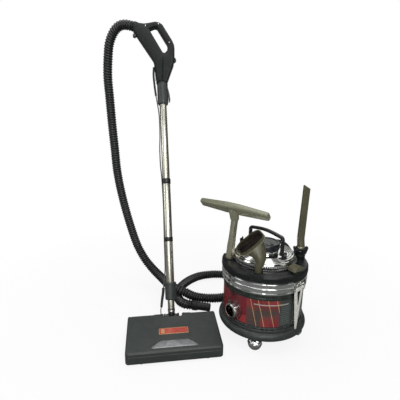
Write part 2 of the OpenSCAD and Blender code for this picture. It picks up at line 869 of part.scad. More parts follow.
module nozzle_base() {
  color([0.10, 0.11, 0.11]) nozzle_frame() {
    difference() {
      translate([-172, -213, 6]) cube([344, 194, 3]);
      translate([-152, -206, 0]) cube([304, 56, 20]);
      translate([-33, -37, 0]) cube([74, 60, 20]);
      for (x = [-155, 137]) translate([x, wheel_y - 17, 0]) cube([18, 34, 20]);
    }
    for (x = [-120, 120]) translate([x, -209.5, 0]) cylinder(r = 3.4, h = 6.5);
    for (side = [-1, 1]) {
      difference() {
        translate([side * 161.5 - 5.5, brush_y - 12, 9]) cube([11, 24, 31]);
        translate([0, brush_y, brush_z]) rod_x(4 + slack, -200, 200);
      }
      difference() {
        translate([side * 161.5 - 5.5, wheel_y - 8, 9]) cube([11, 16, 12]);
        translate([0, wheel_y, wheel_r]) rod_x(axle_r + slack, -200, 200);
      }
      extrude_x(side * 27.5 - 3.5, side * 27.5 + 3.5)
        polygon([[-60, 9], [-60, 14], [-38, 40], [-22, 58], [-2, 61], [7, 54], [7, 41], [-1, 34],
          [-18, 34], [-38, 9]]);
      translate([0, pivot_y, pivot_z]) rod_x(4, min(side * 10, side * 25), max(side * 10, side * 25));
    }
  }
}

module headlight_lens() {
  color([0.75, 0.76, 0.76]) nozzle_frame() intersection() {
    top_layer(-1.5, 1.5);
    lens_plan();
  }
}

module name_badge() {
  color([0.80, 0.30, 0.20]) nozzle_frame() intersection() {
    top_layer(0, 1.2);
    badge_plan();
  }
}

module brush_roll() {
  tufts = 14;
  color([0.25, 0.20, 0.15]) nozzle_frame() translate([0, brush_y, brush_z]) union() {
    rod_x(brush_core_r, -150, 150);
    rod_x(4, -164, 164);
    for (row = [0, 180], i = [0 : tufts - 1])
      translate([-138 + i * 18, 0, 0]) rotate([row + i * 24, 0, 0]) cylinder(r = 3, h = 22, $fn = 16);
  }
}

// A belt's centre-line outline around two pulleys, a distance span apart along x.
function belt_points(r1, r2, span) = let(lean = acos((r1 - r2) / span), step = 10, fit = cos(step / 2))
  concat(
    [for (k = [0 : 1 : round((360 - 2 * lean) / step)])
      let(a = lean + k * (360 - 2 * lean) / round((360 - 2 * lean) / step)) r1 / fit * [cos(a), sin(a)]],
    [for (k = [0 : 1 : round(2 * lean / step)])
      let(a = -lean + k * 2 * lean / round(2 * lean / step))
      [span, 0] + r2 / fit * [cos(a), sin(a)]]
  );

module drive_belt() {
  gap = 0.3;
  belt = 1.8;
  rise = motor_z - brush_z;
  run = motor_y - brush_y;
  span = norm([run, rise]);
  color([0.05, 0.05, 0.05]) nozzle_frame() extrude_x(128, 138) translate([brush_y, brush_z])
    rotate([0, 0, atan2(rise, run)]) difference() {
      polygon(belt_points(brush_core_r + gap + belt, pulley_r + gap + belt, span));
      polygon(belt_points(brush_core_r + gap, pulley_r + gap, span));
    }
}

module nozzle_motor() {
  color([0.35, 0.35, 0.36]) nozzle_frame() translate([0, motor_y, motor_z]) difference() {
    rod_x(22, -10, 110);
    rod_x(19, -7, 100);
    rod_x(axle_r + slack, 90, 120);
  }
}

module motor_pulley() {
  color([0.6, 0.6, 0.6]) nozzle_frame() translate([0, motor_y, motor_z]) union() {
    rod_x(axle_r, 10, 142);
    rod_x(14, 15, 80);
    rod_x(pulley_r, 126, 140);
  }
}

module nozzle_wheels() {
  color([0.08, 0.08, 0.08]) nozzle_frame() translate([0, wheel_y, wheel_r]) union() {
    rod_x(axle_r, -165, 165);
    rod_x(wheel_r, -152, -140);
    rod_x(wheel_r, 140, 152);
  }
}

base_pan();
bumper_ring();
dirt_drum();
label_wrap();
inlet_port();
canister_screws();
motor_deck();
filter_cone();
motor_skirt();
motor_housing();
fan_rotor();
louver_dome();
motor_cap();
power_switch();
tool_caddy();
crevice_clip();
handle_brackets();
carry_handle();
latch_brackets();
latch_lever_right();
latch_lever_left();
cord_hook();
power_cord();
caster_hood_1();
caster_hood_2();
caster_hood_3();
caster_hood_4();
caster_ball_1();
caster_ball_2();
caster_ball_3();
caster_ball_4();
floor_tool();
floor_tool_bristles();
dusting_brush();
dusting_bristles();
crevice_tool();
upholstery_tool();
hose();
hose_end_cuff();
handle_shell_front();
handle_shell_rear();
handle_screws();
suction_knob();
handle_switch();
wand_release();
upper_wand();
lower_wand();
wand_collars();
wand_cord();
neck_tube();
neck_knuckle();
nozzle_cover();
nozzle_base();
headlight_lens();
name_badge();
brush_roll();
drive_belt();
nozzle_motor();
motor_pulley();
nozzle_wheels();
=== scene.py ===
"""Looks of a canister vacuum cleaner with hose, wand and power nozzle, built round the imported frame.

Shapes are drawn in millimetres in the frame's own axes (+Z up, canister axis at the origin) and turned
into metres when a piece is made.
"""
import json
import math
import random
from math import cos, degrees, pi, radians, sin

import bmesh
import bpy
from mathutils import Matrix, Vector
from mathutils.geometry import delaunay_2d_cdt

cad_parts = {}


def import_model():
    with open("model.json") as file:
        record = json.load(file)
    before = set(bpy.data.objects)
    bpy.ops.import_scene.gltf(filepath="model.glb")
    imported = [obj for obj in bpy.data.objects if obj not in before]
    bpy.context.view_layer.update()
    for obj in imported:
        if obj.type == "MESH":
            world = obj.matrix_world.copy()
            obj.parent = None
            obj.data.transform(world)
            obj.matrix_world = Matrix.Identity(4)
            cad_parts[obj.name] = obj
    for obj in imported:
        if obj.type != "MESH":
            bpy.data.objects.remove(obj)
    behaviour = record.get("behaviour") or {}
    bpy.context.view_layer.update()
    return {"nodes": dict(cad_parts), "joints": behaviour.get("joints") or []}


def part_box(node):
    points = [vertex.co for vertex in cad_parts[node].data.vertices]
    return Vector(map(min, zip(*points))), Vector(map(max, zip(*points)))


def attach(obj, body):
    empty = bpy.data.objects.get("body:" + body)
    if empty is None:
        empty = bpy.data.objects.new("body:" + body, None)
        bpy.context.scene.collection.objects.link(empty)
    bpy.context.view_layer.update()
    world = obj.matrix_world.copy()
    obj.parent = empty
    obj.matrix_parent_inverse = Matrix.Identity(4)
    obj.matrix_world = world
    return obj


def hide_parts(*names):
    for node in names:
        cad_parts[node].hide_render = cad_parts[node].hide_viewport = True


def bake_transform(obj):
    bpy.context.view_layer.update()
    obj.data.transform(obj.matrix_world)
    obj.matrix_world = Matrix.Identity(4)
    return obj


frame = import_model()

MM = 0.001


# ---------- places from the frame ----------

def low(node):
    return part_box(node)[0] / MM


def high(node):
    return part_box(node)[1] / MM


def joint(name):
    return next(j for j in frame["joints"] if j["name"] == name)


def joint_at(name):
    return Vector(joint(name)["pos_m"]) / MM


def shift(x=0.0, y=0.0, z=0.0):
    return Matrix.Translation((x, y, z))


def turn(angle, axis):
    return Matrix.Rotation(radians(angle), 4, axis)


def at_azimuth(azimuth, r=0.0, z=0.0):
    """A frame on the canister: x sideways, y towards the axis, z up."""
    return turn(azimuth, "Z") @ shift(0, -r, z)


def frame_from(origin, x_axis, z_axis):
    x = Vector(x_axis).normalized()
    y = Vector(z_axis).cross(x).normalized()
    return shift(*origin) @ Matrix((x, y, x.cross(y))).transposed().to_4x4()


PIVOT = joint_at("nozzle_tilt")
ACROSS = Vector(joint("nozzle_tilt")["axis"])
LEAN = 20.0
SKEW = -0.7
PIVOT_DROP = 20.0
HINGE = frame_from(PIVOT, ACROSS, (0, 0, 1)) @ turn(-LEAN, "X")
WAND = HINGE @ shift(z=PIVOT_DROP)
STAND = WAND.to_translation()
NOZZLE = frame_from((STAND.x, STAND.y, 0), ACROSS, (0, 0, 1))
TUBE = WAND @ turn(SKEW, "Y")
FLOOR_SOCKET = shift(-141, -5, 305) @ turn(5.1, "Y") @ turn(1.4, "X")
INLET_AZ = -53
BLOCK_AZ = -20
HANDLE_AZ = 37
SWITCH_AZ = 20
SWITCH_RING = 32
CLIP_AZ = 95
CLIP_RING = 145
CORD_AZ = 150
WEDGE_AZ = 38
WEDGE_RING = 147
BRUSH_RING = 140
CADDY_FROM = -108
CADDY_TO = 112
LATCH_AZ = 38
LATCH_RING = 171


# ---------- shapes: each is (points, faces) in millimetres ----------

def clamp(value):
    return min(1.0, max(0.0, value))


def arc(cx, cy, r, start, end, steps):
    return [(cx + r * cos(radians(start + (end - start) * i / steps)),
             cy + r * sin(radians(start + (end - start) * i / steps))) for i in range(steps + 1)]


def fillet(points, steps=4, closed=True):
    """Rounds the corners of an outline. A point is (x, y) or (x, y, radius)."""
    out = []
    longest_share = 0.49
    count = len(points)
    for i, p in enumerate(points):
        here = Vector(p[:2])
        r = p[2] if len(p) > 2 else 0
        if r <= 0 or (not closed and i in (0, count - 1)):
            out.append(tuple(here))
            continue
        before = Vector(points[i - 1][:2]) - here
        after = Vector(points[(i + 1) % count][:2]) - here
        half = before.angle(after) / 2
        if half < 1e-3 or half > pi / 2 - 1e-3:
            out.append(tuple(here))
            continue
        reach = min(r / math.tan(half), before.length * longest_share, after.length * longest_share)
        r = reach * math.tan(half)
        centre = here + (before.normalized() + after.normalized()).normalized() * (r / sin(half))
        a = here + before.normalized() * reach - centre
        b = here + after.normalized() * reach - centre
        swing = a.angle_signed(b)
        for k in range(steps + 1):
            angle = -swing * k / steps
            c, s = cos(angle), sin(angle)
            out.append((centre.x + a.x * c - a.y * s, centre.y + a.x * s + a.y * c))
    return out


def smooth_outline(points, steps=6, closed=True):
    """A spline through 2D or 3D points."""
    p = [Vector(q) for q in points]
    n = len(p)
    out = []
    for i in range(n if closed else n - 1):
        a, b = (p[i - 1], p[(i + 1) % n]) if closed else (p[max(i - 1, 0)], p[i + 1])
        c = p[(i + 2) % n] if closed else p[min(i + 2, n - 1)]
        for k in range(steps):
            t = k / steps
            out.append(0.5 * (2 * p[i] + (b - a) * t + (2 * a - 5 * p[i] + 4 * b - c) * t * t
                              + (3 * p[i] - a - 3 * b + c) * t ** 3))
    if not closed:
        out.append(p[-1])
    return out


def grid(rings, loop=False, caps=True):
    """Skins rings of points. loop joins the last ring to the first; caps closes both ends."""
    n = len(rings[0])
    points = [Vector(p) for ring in rings for p in ring]
    faces = []
    for i in range(len(rings) - (0 if loop else 1)):
        j = (i + 1) % len(rings)
        for k in range(n):
            m = (k + 1) % n
            faces.append((i * n + k, i * n + m, j * n + m, j * n + k))
    if caps and not loop:
        faces.append(tuple(reversed(range(n))))
        faces.append(tuple((len(rings) - 1) * n + k for k in range(n)))
    return points, faces


def lathe(profile, steps=128, closed=True):
    """Turns a profile of (r, z), drawn counter-clockwise, round the z axis."""
    rings = [[(x, y, z) for x, y in circle(max(r, 0.02), steps)] for r, z in profile]
    return grid(rings, loop=closed, caps=not closed)


def turned(corners, corner_steps, steps):
    """Turns a closed outline round the z axis. A corner is (r, z) or (r, z, radius)."""
    return lathe(fillet(corners, corner_steps), steps)


def spindle(corners, corner_steps, steps):
    """Turns an open outline that starts and ends near the axis, and closes its ends."""
    return lathe(fillet(corners, corner_steps, closed=False), steps, closed=False)


def part_ring(profile, start, end):
    """Turns a profile of (r, z) round the canister from one azimuth to another, with closed ends."""
    rings = []
    steps = 140
    for i in range(steps + 1):
        a = radians(start + (end - start) * i / steps)
        rings.append([(r * sin(a), -r * cos(a), z) for r, z in profile])
    return grid(rings)


def prism(outline, low_z, high_z, rings=1):
    levels = [low_z + (high_z - low_z) * i / rings for i in range(rings + 1)]
    return grid([[(p[0], p[1], z) for p in outline] for z in levels])


def carried_frames(path):
    """A tangent and two normals at each point of a path, turned as little as possible."""
    n = len(path)
    tangents = [(path[min(i + 1, n - 1)] - path[max(i - 1, 0)]).normalized() for i in range(n)]
    side = tangents[0].orthogonal().normalized()
    out = []
    for t in tangents:
        side = (side - side.dot(t) * t).normalized()
        out.append((t, side, t.cross(side)))
    return out


def sweep(path, section, size=None):
    """Carries a 2D section along a path. size(i, k) scales point k of ring i."""
    rings = []
    for i, (p, (_, u, v)) in enumerate(zip(path, carried_frames(path))):
        ring = []
        for k, (x, y) in enumerate(section):
            s = size(i, k) if size else 1.0
            ring.append(p + u * x * s + v * y * s)
        rings.append(ring)
    return grid(rings)


def circle(r, n=24):
    return [(r * cos(2 * pi * k / n), r * sin(2 * pi * k / n)) for k in range(n)]


def bent(value, power):
    """A power that keeps the sign."""
    return math.copysign(abs(value) ** power, value)


def round_rect(w, h, r, steps=4):
    x, y = w / 2, h / 2
    return fillet([(-x, -y, r), (x, -y, r), (x, y, r), (-x, y, r)], steps)


def moved(shape, matrix):
    points, faces = shape
    return [matrix @ p for p in points], faces


def joined(*shapes):
    points, faces = [], []
    for s_points, s_faces in shapes:
        start = len(points)
        points += s_points
        faces += [tuple(start + i for i in f) for f in s_faces]
    return points, faces


def skin(bm, loops):
    """Faces between rings of bmesh vertices."""
    for lower, upper in zip(loops, loops[1:]):
        n = len(lower)
        for i in range(n):
            bm.faces.new((lower[i], lower[(i + 1) % n], upper[(i + 1) % n], upper[i]))


def from_bmesh(bm):
    """Turns a bmesh into (points, faces) and frees it."""
    bmesh.ops.recalc_face_normals(bm, faces=bm.faces)
    bmesh.ops.delete(bm, geom=[v for v in bm.verts if not v.link_faces], context="VERTS")
    bm.verts.index_update()
    points = [v.co.copy() for v in bm.verts]
    faces = [tuple(v.index for v in f.verts) for f in bm.faces]
    bm.free()
    return points, faces


def strand(base, base_r, tip, tip_r):
    """One hair: a three-sided taper."""
    return grid([[p + Vector((r * cos(a), r * sin(a), 0)) for a in (0, 2.1, 4.2)]
                 for p, r in ((base, base_r), (tip, tip_r))])


def domed_screw(r, matrix):
    """A domed head with a raised cross, drawn upwards from its seat."""
    steps = ((1, 0), (0.95, 0.25), (0.75, 0.42), (0.4, 0.5))
    head = grid([[(x * w, y * w, h * r) for x, y in circle(r)] for w, h in steps])
    bar = prism(round_rect(1.1 * r, 0.28 * r, 0.05 * r, 1), 0.42 * r, 0.54 * r)
    return moved(joined(head, bar, moved(bar, turn(90, "Z"))), matrix)


# ---------- pieces ----------

def mesh_object(name, shape, material):
    points, faces = shape
    mesh = bpy.data.meshes.new(name)
    mesh.from_pydata([tuple(p * MM) for p in points], [], faces)
    mesh.validate()
    mesh.materials.append(material)
    mesh.polygons.foreach_set("use_smooth", [True] * len(mesh.polygons))
    bm = bmesh.new()
    bm.from_mesh(mesh)
    bmesh.ops.recalc_face_normals(bm, faces=bm.faces)
    bm.to_mesh(mesh)
    bm.free()
    obj = bpy.data.objects.new(name, mesh)
    bpy.context.scene.collection.objects.link(obj)
    return obj


def piece(name, shape, material, body, replaces=(), bevel=0.0, bevel_steps=2, solid=0.0, sharp=38):
    """A visible piece on its body. solid gives a sheet its thickness; sharp is the angle of a hard edge."""
    obj = mesh_object(name, shape, material)
    if solid:
        m = obj.modifiers.new("thickness", "SOLIDIFY")
        m.thickness = solid * MM
        m.offset = -1
    if bevel:
        m = obj.modifiers.new("edges", "BEVEL")
        m.width = bevel * MM
        m.segments = bevel_steps
        m.limit_method = "ANGLE"
        m.angle_limit = radians(32)
        m.harden_normals = True
    if sharp:
        obj.data.set_sharp_from_angle(angle=radians(sharp))
    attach(obj, body)
    if replaces:
        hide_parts(*replaces)


# ---------- materials ----------

class Nodes:
    """Short names for building a node tree."""

    def __init__(self, tree):
        self.tree = tree
        self.coordinates = self.add("ShaderNodeTexCoord")
        self.place = self.coordinates.outputs["Object"]

    def add(self, kind, **values):
        node = self.tree.nodes.new(kind)
        for key, value in values.items():
            setattr(node, key, value)
        return node

    def put(self, socket, value):
        if isinstance(value, bpy.types.NodeSocket):
            self.tree.links.new(value, socket)
        else:
            socket.default_value = value

    def fill(self, node, **values):
        """Sets a node's inputs by name, with _ for a space."""
        for key, value in values.items():
            self.put(node.inputs[key.replace("_", " ")], value)
        return node.outputs

    def math(self, operation, a, b=0.0):
        node = self.add("ShaderNodeMath", operation=operation)
        self.put(node.inputs[0], a)
        self.put(node.inputs[1], b)
        return node.outputs[0]

    def times(self, a, b):
        return self.math("MULTIPLY", a, b)

    def noise(self, size_mm, detail=3.0, stretch=None, rough=0.5):
        place = self.place
        if stretch is not None:
            place = self.fill(self.add("ShaderNodeMapping"), Scale=stretch, Vector=place)["Vector"]
        node = self.add("ShaderNodeTexNoise")
        scale = 1 / (size_mm * MM)
        return self.fill(node, Scale=scale, Detail=detail, Roughness=rough, Vector=place)["Fac"]

    def spread(self, value, from_low, from_high, to_low=0.0, to_high=1.0):
        """Maps one range of values to another and stays inside it."""
        node = self.add("ShaderNodeMapRange")
        return self.fill(node, Value=value, From_Min=from_low, From_Max=from_high, To_Min=to_low,
                         To_Max=to_high)["Result"]

    def mix(self, share, a, b):
        node = self.add("ShaderNodeMix", data_type="RGBA")
        self.put(node.inputs[0], share)
        self.put(node.inputs[6], colour4(a))
        self.put(node.inputs[7], colour4(b))
        return node.outputs[2]

    def bump(self, height, strength, distance_mm):
        node = self.add("ShaderNodeBump")
        return self.fill(node, Strength=strength, Distance=distance_mm * MM, Height=height)["Normal"]

    def parts(self, vector):
        """The X, Y and Z outputs of a vector."""
        node = self.add("ShaderNodeSeparateXYZ")
        self.put(node.inputs[0], vector)
        return node.outputs

    def round_the_axis(self, vector):
        """Degrees from the front, and the height."""
        place = self.parts(vector)
        angle = self.math("ARCTAN2", place["X"], self.times(place["Y"], -1.0))
        return self.times(angle, 180 / pi), place["Z"]

    def cloud(self, size_mm, a, b, detail=4.0, half=0.15):
        """Two colours in drifting clouds."""
        return self.mix(self.spread(self.noise(size_mm, detail), 0.5 - half, 0.5 + half), a, b)

    def join(self, share, a, b):
        """Mixes two shaders."""
        node = self.add("ShaderNodeMixShader")
        for socket, value in zip(node.inputs, (share, a, b)):
            self.put(socket, value)
        return node.outputs[0]


class Finish(Nodes):
    """The nodes of one material."""

    def __init__(self, name):
        self.mat = bpy.data.materials.new(name)
        self.mat.use_nodes = True
        super().__init__(self.mat.node_tree)
        self.bsdf = self.tree.nodes["Principled BSDF"]

    def set(self, **values):
        self.fill(self.bsdf, **values)


def colour4(c):
    return (*c, 1.0) if isinstance(c, tuple) and len(c) == 3 else c


def scaled(c, share):
    return tuple(v * share for v in c)


ROUGH_SPREAD = 0.08


def finish(name, colour, rough, metal=0.0, mottle=0.14, mottle_mm=35.0, grain=0.25, grain_mm=0.9, coat=0.0,
           wear=None, wear_share=0.35, dust=0.0, stretch=None, groove=0.0, shine=0.5):
    """Colour that varies, worn edges, painted shade darkening the grooves, dust on what faces up, and a fine
    grain.
    """
    n = Finish(name)
    drift = n.spread(n.noise(mottle_mm, 4, stretch), 0.35, 0.65)
    tone = n.mix(drift, scaled(colour, 1 - mottle), scaled(colour, 1 + mottle))
    geometry = n.add("ShaderNodeNewGeometry")
    if groove:
        # Painted shade: hollows (low pointiness) are darkened towards a shade colour.
        painted_groove_shade = n.spread(geometry.outputs["Pointiness"], 0.44, 0.50, groove, 0.0)
        tone = n.mix(painted_groove_shade, tone, scaled(colour, 0.15))
    if wear:
        edge = n.spread(geometry.outputs["Pointiness"], 0.52, 0.60, 0.0, wear_share)
        broken = n.times(edge, n.spread(n.noise(6, 5), 0.42, 0.6))
        tone = n.mix(broken, tone, wear)
    if dust:
        up = n.spread(n.parts(geometry.outputs["Normal"])["Z"], 0.5, 1.0, 0.0, dust)
        tone = n.mix(n.times(up, n.spread(n.noise(18, 6), 0.4, 0.7)), tone, (0.30, 0.30, 0.27))
    fine = n.noise(grain_mm, 2, stretch)
    smooth, coarse = max(rough - ROUGH_SPREAD, 0.02), rough + ROUGH_SPREAD
    roughness = n.spread(n.noise(22, 5, stretch, 0.6), 0.3, 0.7, smooth, coarse)
    n.set(Base_Color=tone, Metallic=metal, Roughness=roughness, Coat_Weight=coat, Coat_Roughness=0.12,
          Specular_IOR_Level=shine)
    if grain:
        n.set(Normal=n.bump(fine, grain, 0.15))
    n.mat.diffuse_color = (*colour, 1)
    return n.mat


def chrome_finish():
    n = Finish("chrome_plate")
    haze = n.spread(n.noise(14, 5, rough=0.6), 0.45, 0.75, 0.035, 0.16)
    tone = n.mix(n.spread(n.noise(9, 4), 0.5, 0.8), (0.86, 0.87, 0.86), (0.62, 0.63, 0.60))
    n.set(Base_Color=tone, Metallic=1.0, Roughness=haze, Normal=n.bump(n.noise(11, 3), 0.12, 0.12))
    return n.mat


def tube_finish():
    """Bright tube whose tone and haze drift slowly."""
    n = Finish("wand_tube")
    tone = n.cloud(90, (0.80, 0.78, 0.66), (0.86, 0.84, 0.74), 2)
    haze = n.spread(n.noise(70, 2), 0.4, 0.7, 0.27, 0.31)
    n.set(Base_Color=tone, Metallic=1.0, Roughness=haze)
    return n.mat


def label_finish():
    """The printed wrap: red fields, a brown-grey field, thin slanting lines and a dark ruled panel."""
    n = Finish("label_print")
    az, height = n.round_the_axis(n.place)
    height = n.spread(height, LABEL_LOW * MM, LABEL_TOP * MM)
    cloud = n.spread(n.noise(70, 2), 0.38, 0.62)

    def band(a, b, soft=0.6):
        rise = n.spread(az, a - soft, a + soft)
        fall = n.spread(az, b - soft, b + soft, 1.0, 0.0)
        return n.times(rise, fall)

    red = n.mix(cloud, (0.17, 0.016, 0.020), (0.25, 0.028, 0.030))
    dark_red = n.mix(cloud, (0.055, 0.010, 0.014), (0.16, 0.010, 0.018))
    brown = n.mix(cloud, (0.060, 0.045, 0.040), (0.110, 0.040, 0.038))
    bright = n.mix(cloud, (0.25, 0.030, 0.030), (0.19, 0.016, 0.022))
    panel = n.mix(cloud, (0.030, 0.040, 0.036), (0.042, 0.055, 0.050))
    edge = (0.018, 0.022, 0.020)

    rows = n.math("GREATER_THAN", n.math("PINGPONG", n.times(height, 13.0), 0.5), 0.34)
    ruled = n.times(band(15, 28, 0.3), n.spread(height, 0.10, 0.11))
    ruled = n.times(ruled, n.spread(height, 0.74, 0.73))
    stripe = n.times(n.spread(height, 0.795, 0.805), n.spread(height, 0.845, 0.835))
    fields = (
        (band(-90, -70, 4), red),
        (n.times(band(-44, -32, 1), n.spread(height, 0.32, 0.30)), (0.30, 0.030, 0.032)),
        (band(-32, 13), brown),
        (n.times(band(-32, 13), n.spread(height, 0.55, 0.85)), red),
        (n.times(band(-12, 13, 1.5), n.spread(height, 0.50, 0.20)), bright),
        (band(13, 32), panel),
        (n.times(n.times(rows, ruled), 0.55), (0.14, 0.17, 0.15)),
        (band(32, 300), panel),
        (band(-181, -88, 1), panel),
        (n.times(n.times(stripe, band(-22, 26, 0.3)), 0.8), (0.42, 0.38, 0.33)),
    )
    tone = dark_red
    for share, colour in fields:
        tone = n.mix(share, tone, colour)
    for start in (-27.0, -16.5, -3.5, 8.5):
        slant = n.math("SUBTRACT", az, n.math("ADD", start, n.spread(height, 1.0, 0.0, 0.0, 10.0)))
        line = n.math("LESS_THAN", n.math("ABSOLUTE", slant), 0.35)
        tone = n.mix(n.times(n.times(line, band(-40, 13, 0.1)), 0.85), tone, (0.62, 0.36, 0.16))
    rim = n.math("MAXIMUM", n.spread(height, 0.035, 0.02), n.spread(height, 0.965, 0.98))
    tone = n.mix(rim, tone, edge)
    scuffs = n.math("GREATER_THAN", n.noise(3, 8, (1, 1, 3), 0.7), 0.71)
    tone = n.mix(n.times(scuffs, 0.5), tone, (0.35, 0.30, 0.26))
    n.set(Base_Color=tone, Roughness=n.spread(n.noise(20, 5), 0.3, 0.7, 0.16, 0.34), Coat_Weight=0.5,
          Coat_Roughness=0.08, Normal=n.bump(n.noise(30, 2), 0.15, 0.3))
    return n.mat


def lens_finish():
    """Milky moulded lens: pale in the middle, dark towards its ends, finely fluted."""
    n = Finish("headlight_lens")
    inverse = NOZZLE.inverted()
    on_nozzle = n.fill(n.add("ShaderNodeMapping"), Location=inverse.to_translation() * MM,
                       Rotation=inverse.to_euler(), Vector=n.place)
    across = n.parts(on_nozzle["Vector"])["X"]
    ends = n.spread(n.math("ABSOLUTE", across), 0.070, 0.100)
    pale = n.cloud(16, (0.18, 0.19, 0.195), (0.27, 0.28, 0.285))
    tone = n.mix(ends, pale, (0.055, 0.062, 0.062))
    flutes = n.math("SINE", n.times(across, 900.0))
    n.set(Base_Color=tone, Roughness=0.13, Coat_Weight=0.8, Coat_Roughness=0.04,
          Normal=n.bump(flutes, 0.25, 0.25))
    return n.mat


def badge_finish():
    n = Finish("badge_face")
    tone = n.cloud(7, (0.42, 0.045, 0.030), (0.56, 0.075, 0.045))
    n.set(Base_Color=tone, Roughness=0.35, Coat_Weight=0.4, Normal=n.bump(n.noise(1.2, 2), 0.2, 0.1))
    return n.mat


LABEL_LOW = low("label_wrap").z
LABEL_TOP = high("label_wrap").z

RUBBER = finish("bumper_rubber", (0.028, 0.034, 0.031), 0.42, mottle=0.18, grain=0.35, grain_mm=1.1,
                wear=(0.12, 0.13, 0.12), dust=0.10)
CADDY = finish("caddy_plastic", (0.009, 0.011, 0.011), 0.36, grain=0.30, grain_mm=1.3,
               wear=(0.07, 0.08, 0.08), dust=0.05, shine=0.3)
BLACK = finish("black_plastic", (0.010, 0.011, 0.011), 0.33, grain=0.22, grain_mm=1.0,
               wear=(0.09, 0.09, 0.09), dust=0.05)
DRUM = finish("drum_paint", (0.022, 0.027, 0.025), 0.30, grain=0.12, coat=0.3, wear=(0.30, 0.31, 0.30))
BAND = finish("grey_band", (0.050, 0.060, 0.053), 0.26, metal=0.6, grain=0.15, mottle=0.25, mottle_mm=18,
              wear=(0.20, 0.20, 0.18))
CHROME = chrome_finish()
STEEL = finish("screw_steel", (0.62, 0.62, 0.60), 0.24, metal=1.0, grain=0.15, mottle=0.2, mottle_mm=3)
TUBE_METAL = tube_finish()
LEVER = finish("lever_plate", (0.80, 0.79, 0.72), 0.30, metal=0.3, grain=0.03, mottle=0.06, mottle_mm=20,
               wear=(0.8, 0.8, 0.75))
OLIVE = finish("tool_olive", (0.205, 0.205, 0.140), 0.30, metal=0.2, mottle=0.06, mottle_mm=45, grain=0.05,
               grain_mm=0.6, coat=0.25, wear=(0.42, 0.40, 0.30), wear_share=0.10)
OLIVE_DARK = finish("tool_olive_dark", (0.092, 0.088, 0.050), 0.30, metal=0.2, mottle=0.07, mottle_mm=60,
                    grain=0.05, grain_mm=0.6, coat=0.25, wear=(0.34, 0.33, 0.25), wear_share=0.10)
CHAMPAGNE = finish("neck_metal", (0.68, 0.64, 0.48), 0.22, metal=0.9, mottle=0.10, mottle_mm=40, grain=0.0)
BRISTLE = finish("bristle_hair", (0.024, 0.016, 0.011), 0.6, mottle=0.25, mottle_mm=4, grain=0.2)
# groove=0.95 darkens the hose's grooves as painted shade.
HOSE = finish("hose_vinyl", (0.010, 0.012, 0.0115), 0.30, mottle=0.15, mottle_mm=60, grain=0.1, groove=0.95,
              wear=(0.085, 0.095, 0.088), wear_share=0.6)
GRIP = finish("grip_charcoal", (0.010, 0.012, 0.012), 0.36, mottle=0.15, grain=0.30, grain_mm=0.8,
              wear=(0.08, 0.09, 0.085), dust=0.04, shine=0.25)
COLLAR = finish("collar_plastic", (0.040, 0.048, 0.044), 0.40, mottle=0.15, grain=0.25,
                wear=(0.13, 0.14, 0.13))
COVER = finish("nozzle_cover", (0.030, 0.037, 0.034), 0.42, mottle=0.05, mottle_mm=60, grain=0.30,
               grain_mm=1.2, wear=(0.13, 0.14, 0.135), dust=0.03)
BASE = finish("base_plastic", (0.012, 0.013, 0.013), 0.5, grain=0.3)
LABEL = label_finish()
LENS = lens_finish()
BADGE = badge_finish()
TAN = finish("badge_border", (0.62, 0.36, 0.17), 0.35, metal=0.3, mottle=0.2, mottle_mm=5)
SWITCH = finish("switch_dark", (0.014, 0.015, 0.016), 0.3, mottle=0.12, mottle_mm=8, grain=0.1, coat=0.3)
FLANGE = finish("inlet_flange_paint", (0.070, 0.014, 0.016), 0.30, mottle=0.2, grain=0.1, coat=0.3,
                wear=(0.3, 0.3, 0.3))
CAP = finish("cap_plastic", (0.013, 0.016, 0.021), 0.34, mottle=0.08, grain=0.2, grain_mm=1.2)
# Lighter grey for a ring on the cap's rim: a painted gloss highlight.
CAP_RIM_HIGHLIGHT = finish("cap_rim_highlight", (0.060, 0.064, 0.050), 0.38, mottle=0.10, grain=0.2, grain_mm=1.2)
CORD = finish("cord_rubber", (0.012, 0.012, 0.012), 0.45, mottle=0.2, mottle_mm=25, grain=0.25)
WIRE = finish("wand_wire", (0.07, 0.073, 0.063), 0.4, mottle=0.2, mottle_mm=25, grain=0.2)
PAPER = finish("filter_paper", (0.62, 0.56, 0.42), 0.85, mottle=0.2, mottle_mm=12, grain=0.6, grain_mm=0.5)
MOTOR = finish("motor_metal", (0.42, 0.42, 0.41), 0.38, metal=0.9, mottle=0.2, grain=0.3)
FAN = finish("fan_metal", (0.60, 0.60, 0.61), 0.30, metal=0.9, mottle=0.15, grain=0.2)
BELT = finish("belt_rubber", (0.015, 0.015, 0.015), 0.7, grain=0.4)
WOOD = finish("brush_roll_core", (0.10, 0.065, 0.035), 0.5, mottle=0.25, mottle_mm=14, grain=0.3,
              stretch=(0.15, 1, 1))
DARK = finish("slot_shadow", (0.004, 0.004, 0.004), 0.8, grain=0.1)


def repaint(node, material):
    """A CAD node whose shape stays gets its material."""
    obj = frame["nodes"][node]
    obj.data.materials.clear()
    obj.data.materials.append(material)
    obj.data.polygons.foreach_set("material_index", [0] * len(obj.data.polygons))


KEPT = {
    "base_pan": BASE, "dirt_drum": DRUM, "label_wrap": LABEL, "filter_cone": PAPER, "motor_housing": MOTOR,
    "fan_rotor": FAN, "nozzle_base": BASE, "brush_roll": WOOD, "drive_belt": BELT, "nozzle_motor": MOTOR,
    "motor_pulley": STEEL, "nozzle_wheels": BASE,
}
for kept_node, kept_material in KEPT.items():
    repaint(kept_node, kept_material)


# ---------- canister ----------

def bumper():
    outer = high("bumper_ring").x
    base = low("bumper_ring").z
    bulge = 17.5
    inner = 140.5
    bead_top = high("bumper_ring").z
    profile = [(inner, base + 1), (outer - bulge, base)]
    profile += arc(outer - bulge, base + bulge, bulge, -80, 50, 22)
    profile += fillet([(164.5, 83.2, 1.5), (162.2, 84.5, 1.0), (165, 87, 1.5), (165, bead_top - 1, 2.6),
                       (159.2, bead_top - 0.2, 1.2), (158.8, 80)], 4, closed=False)
    profile += [(inner, 80)]
    piece("bumper", lathe(profile, 160), RUBBER, "canister", ["bumper_ring"], sharp=50)


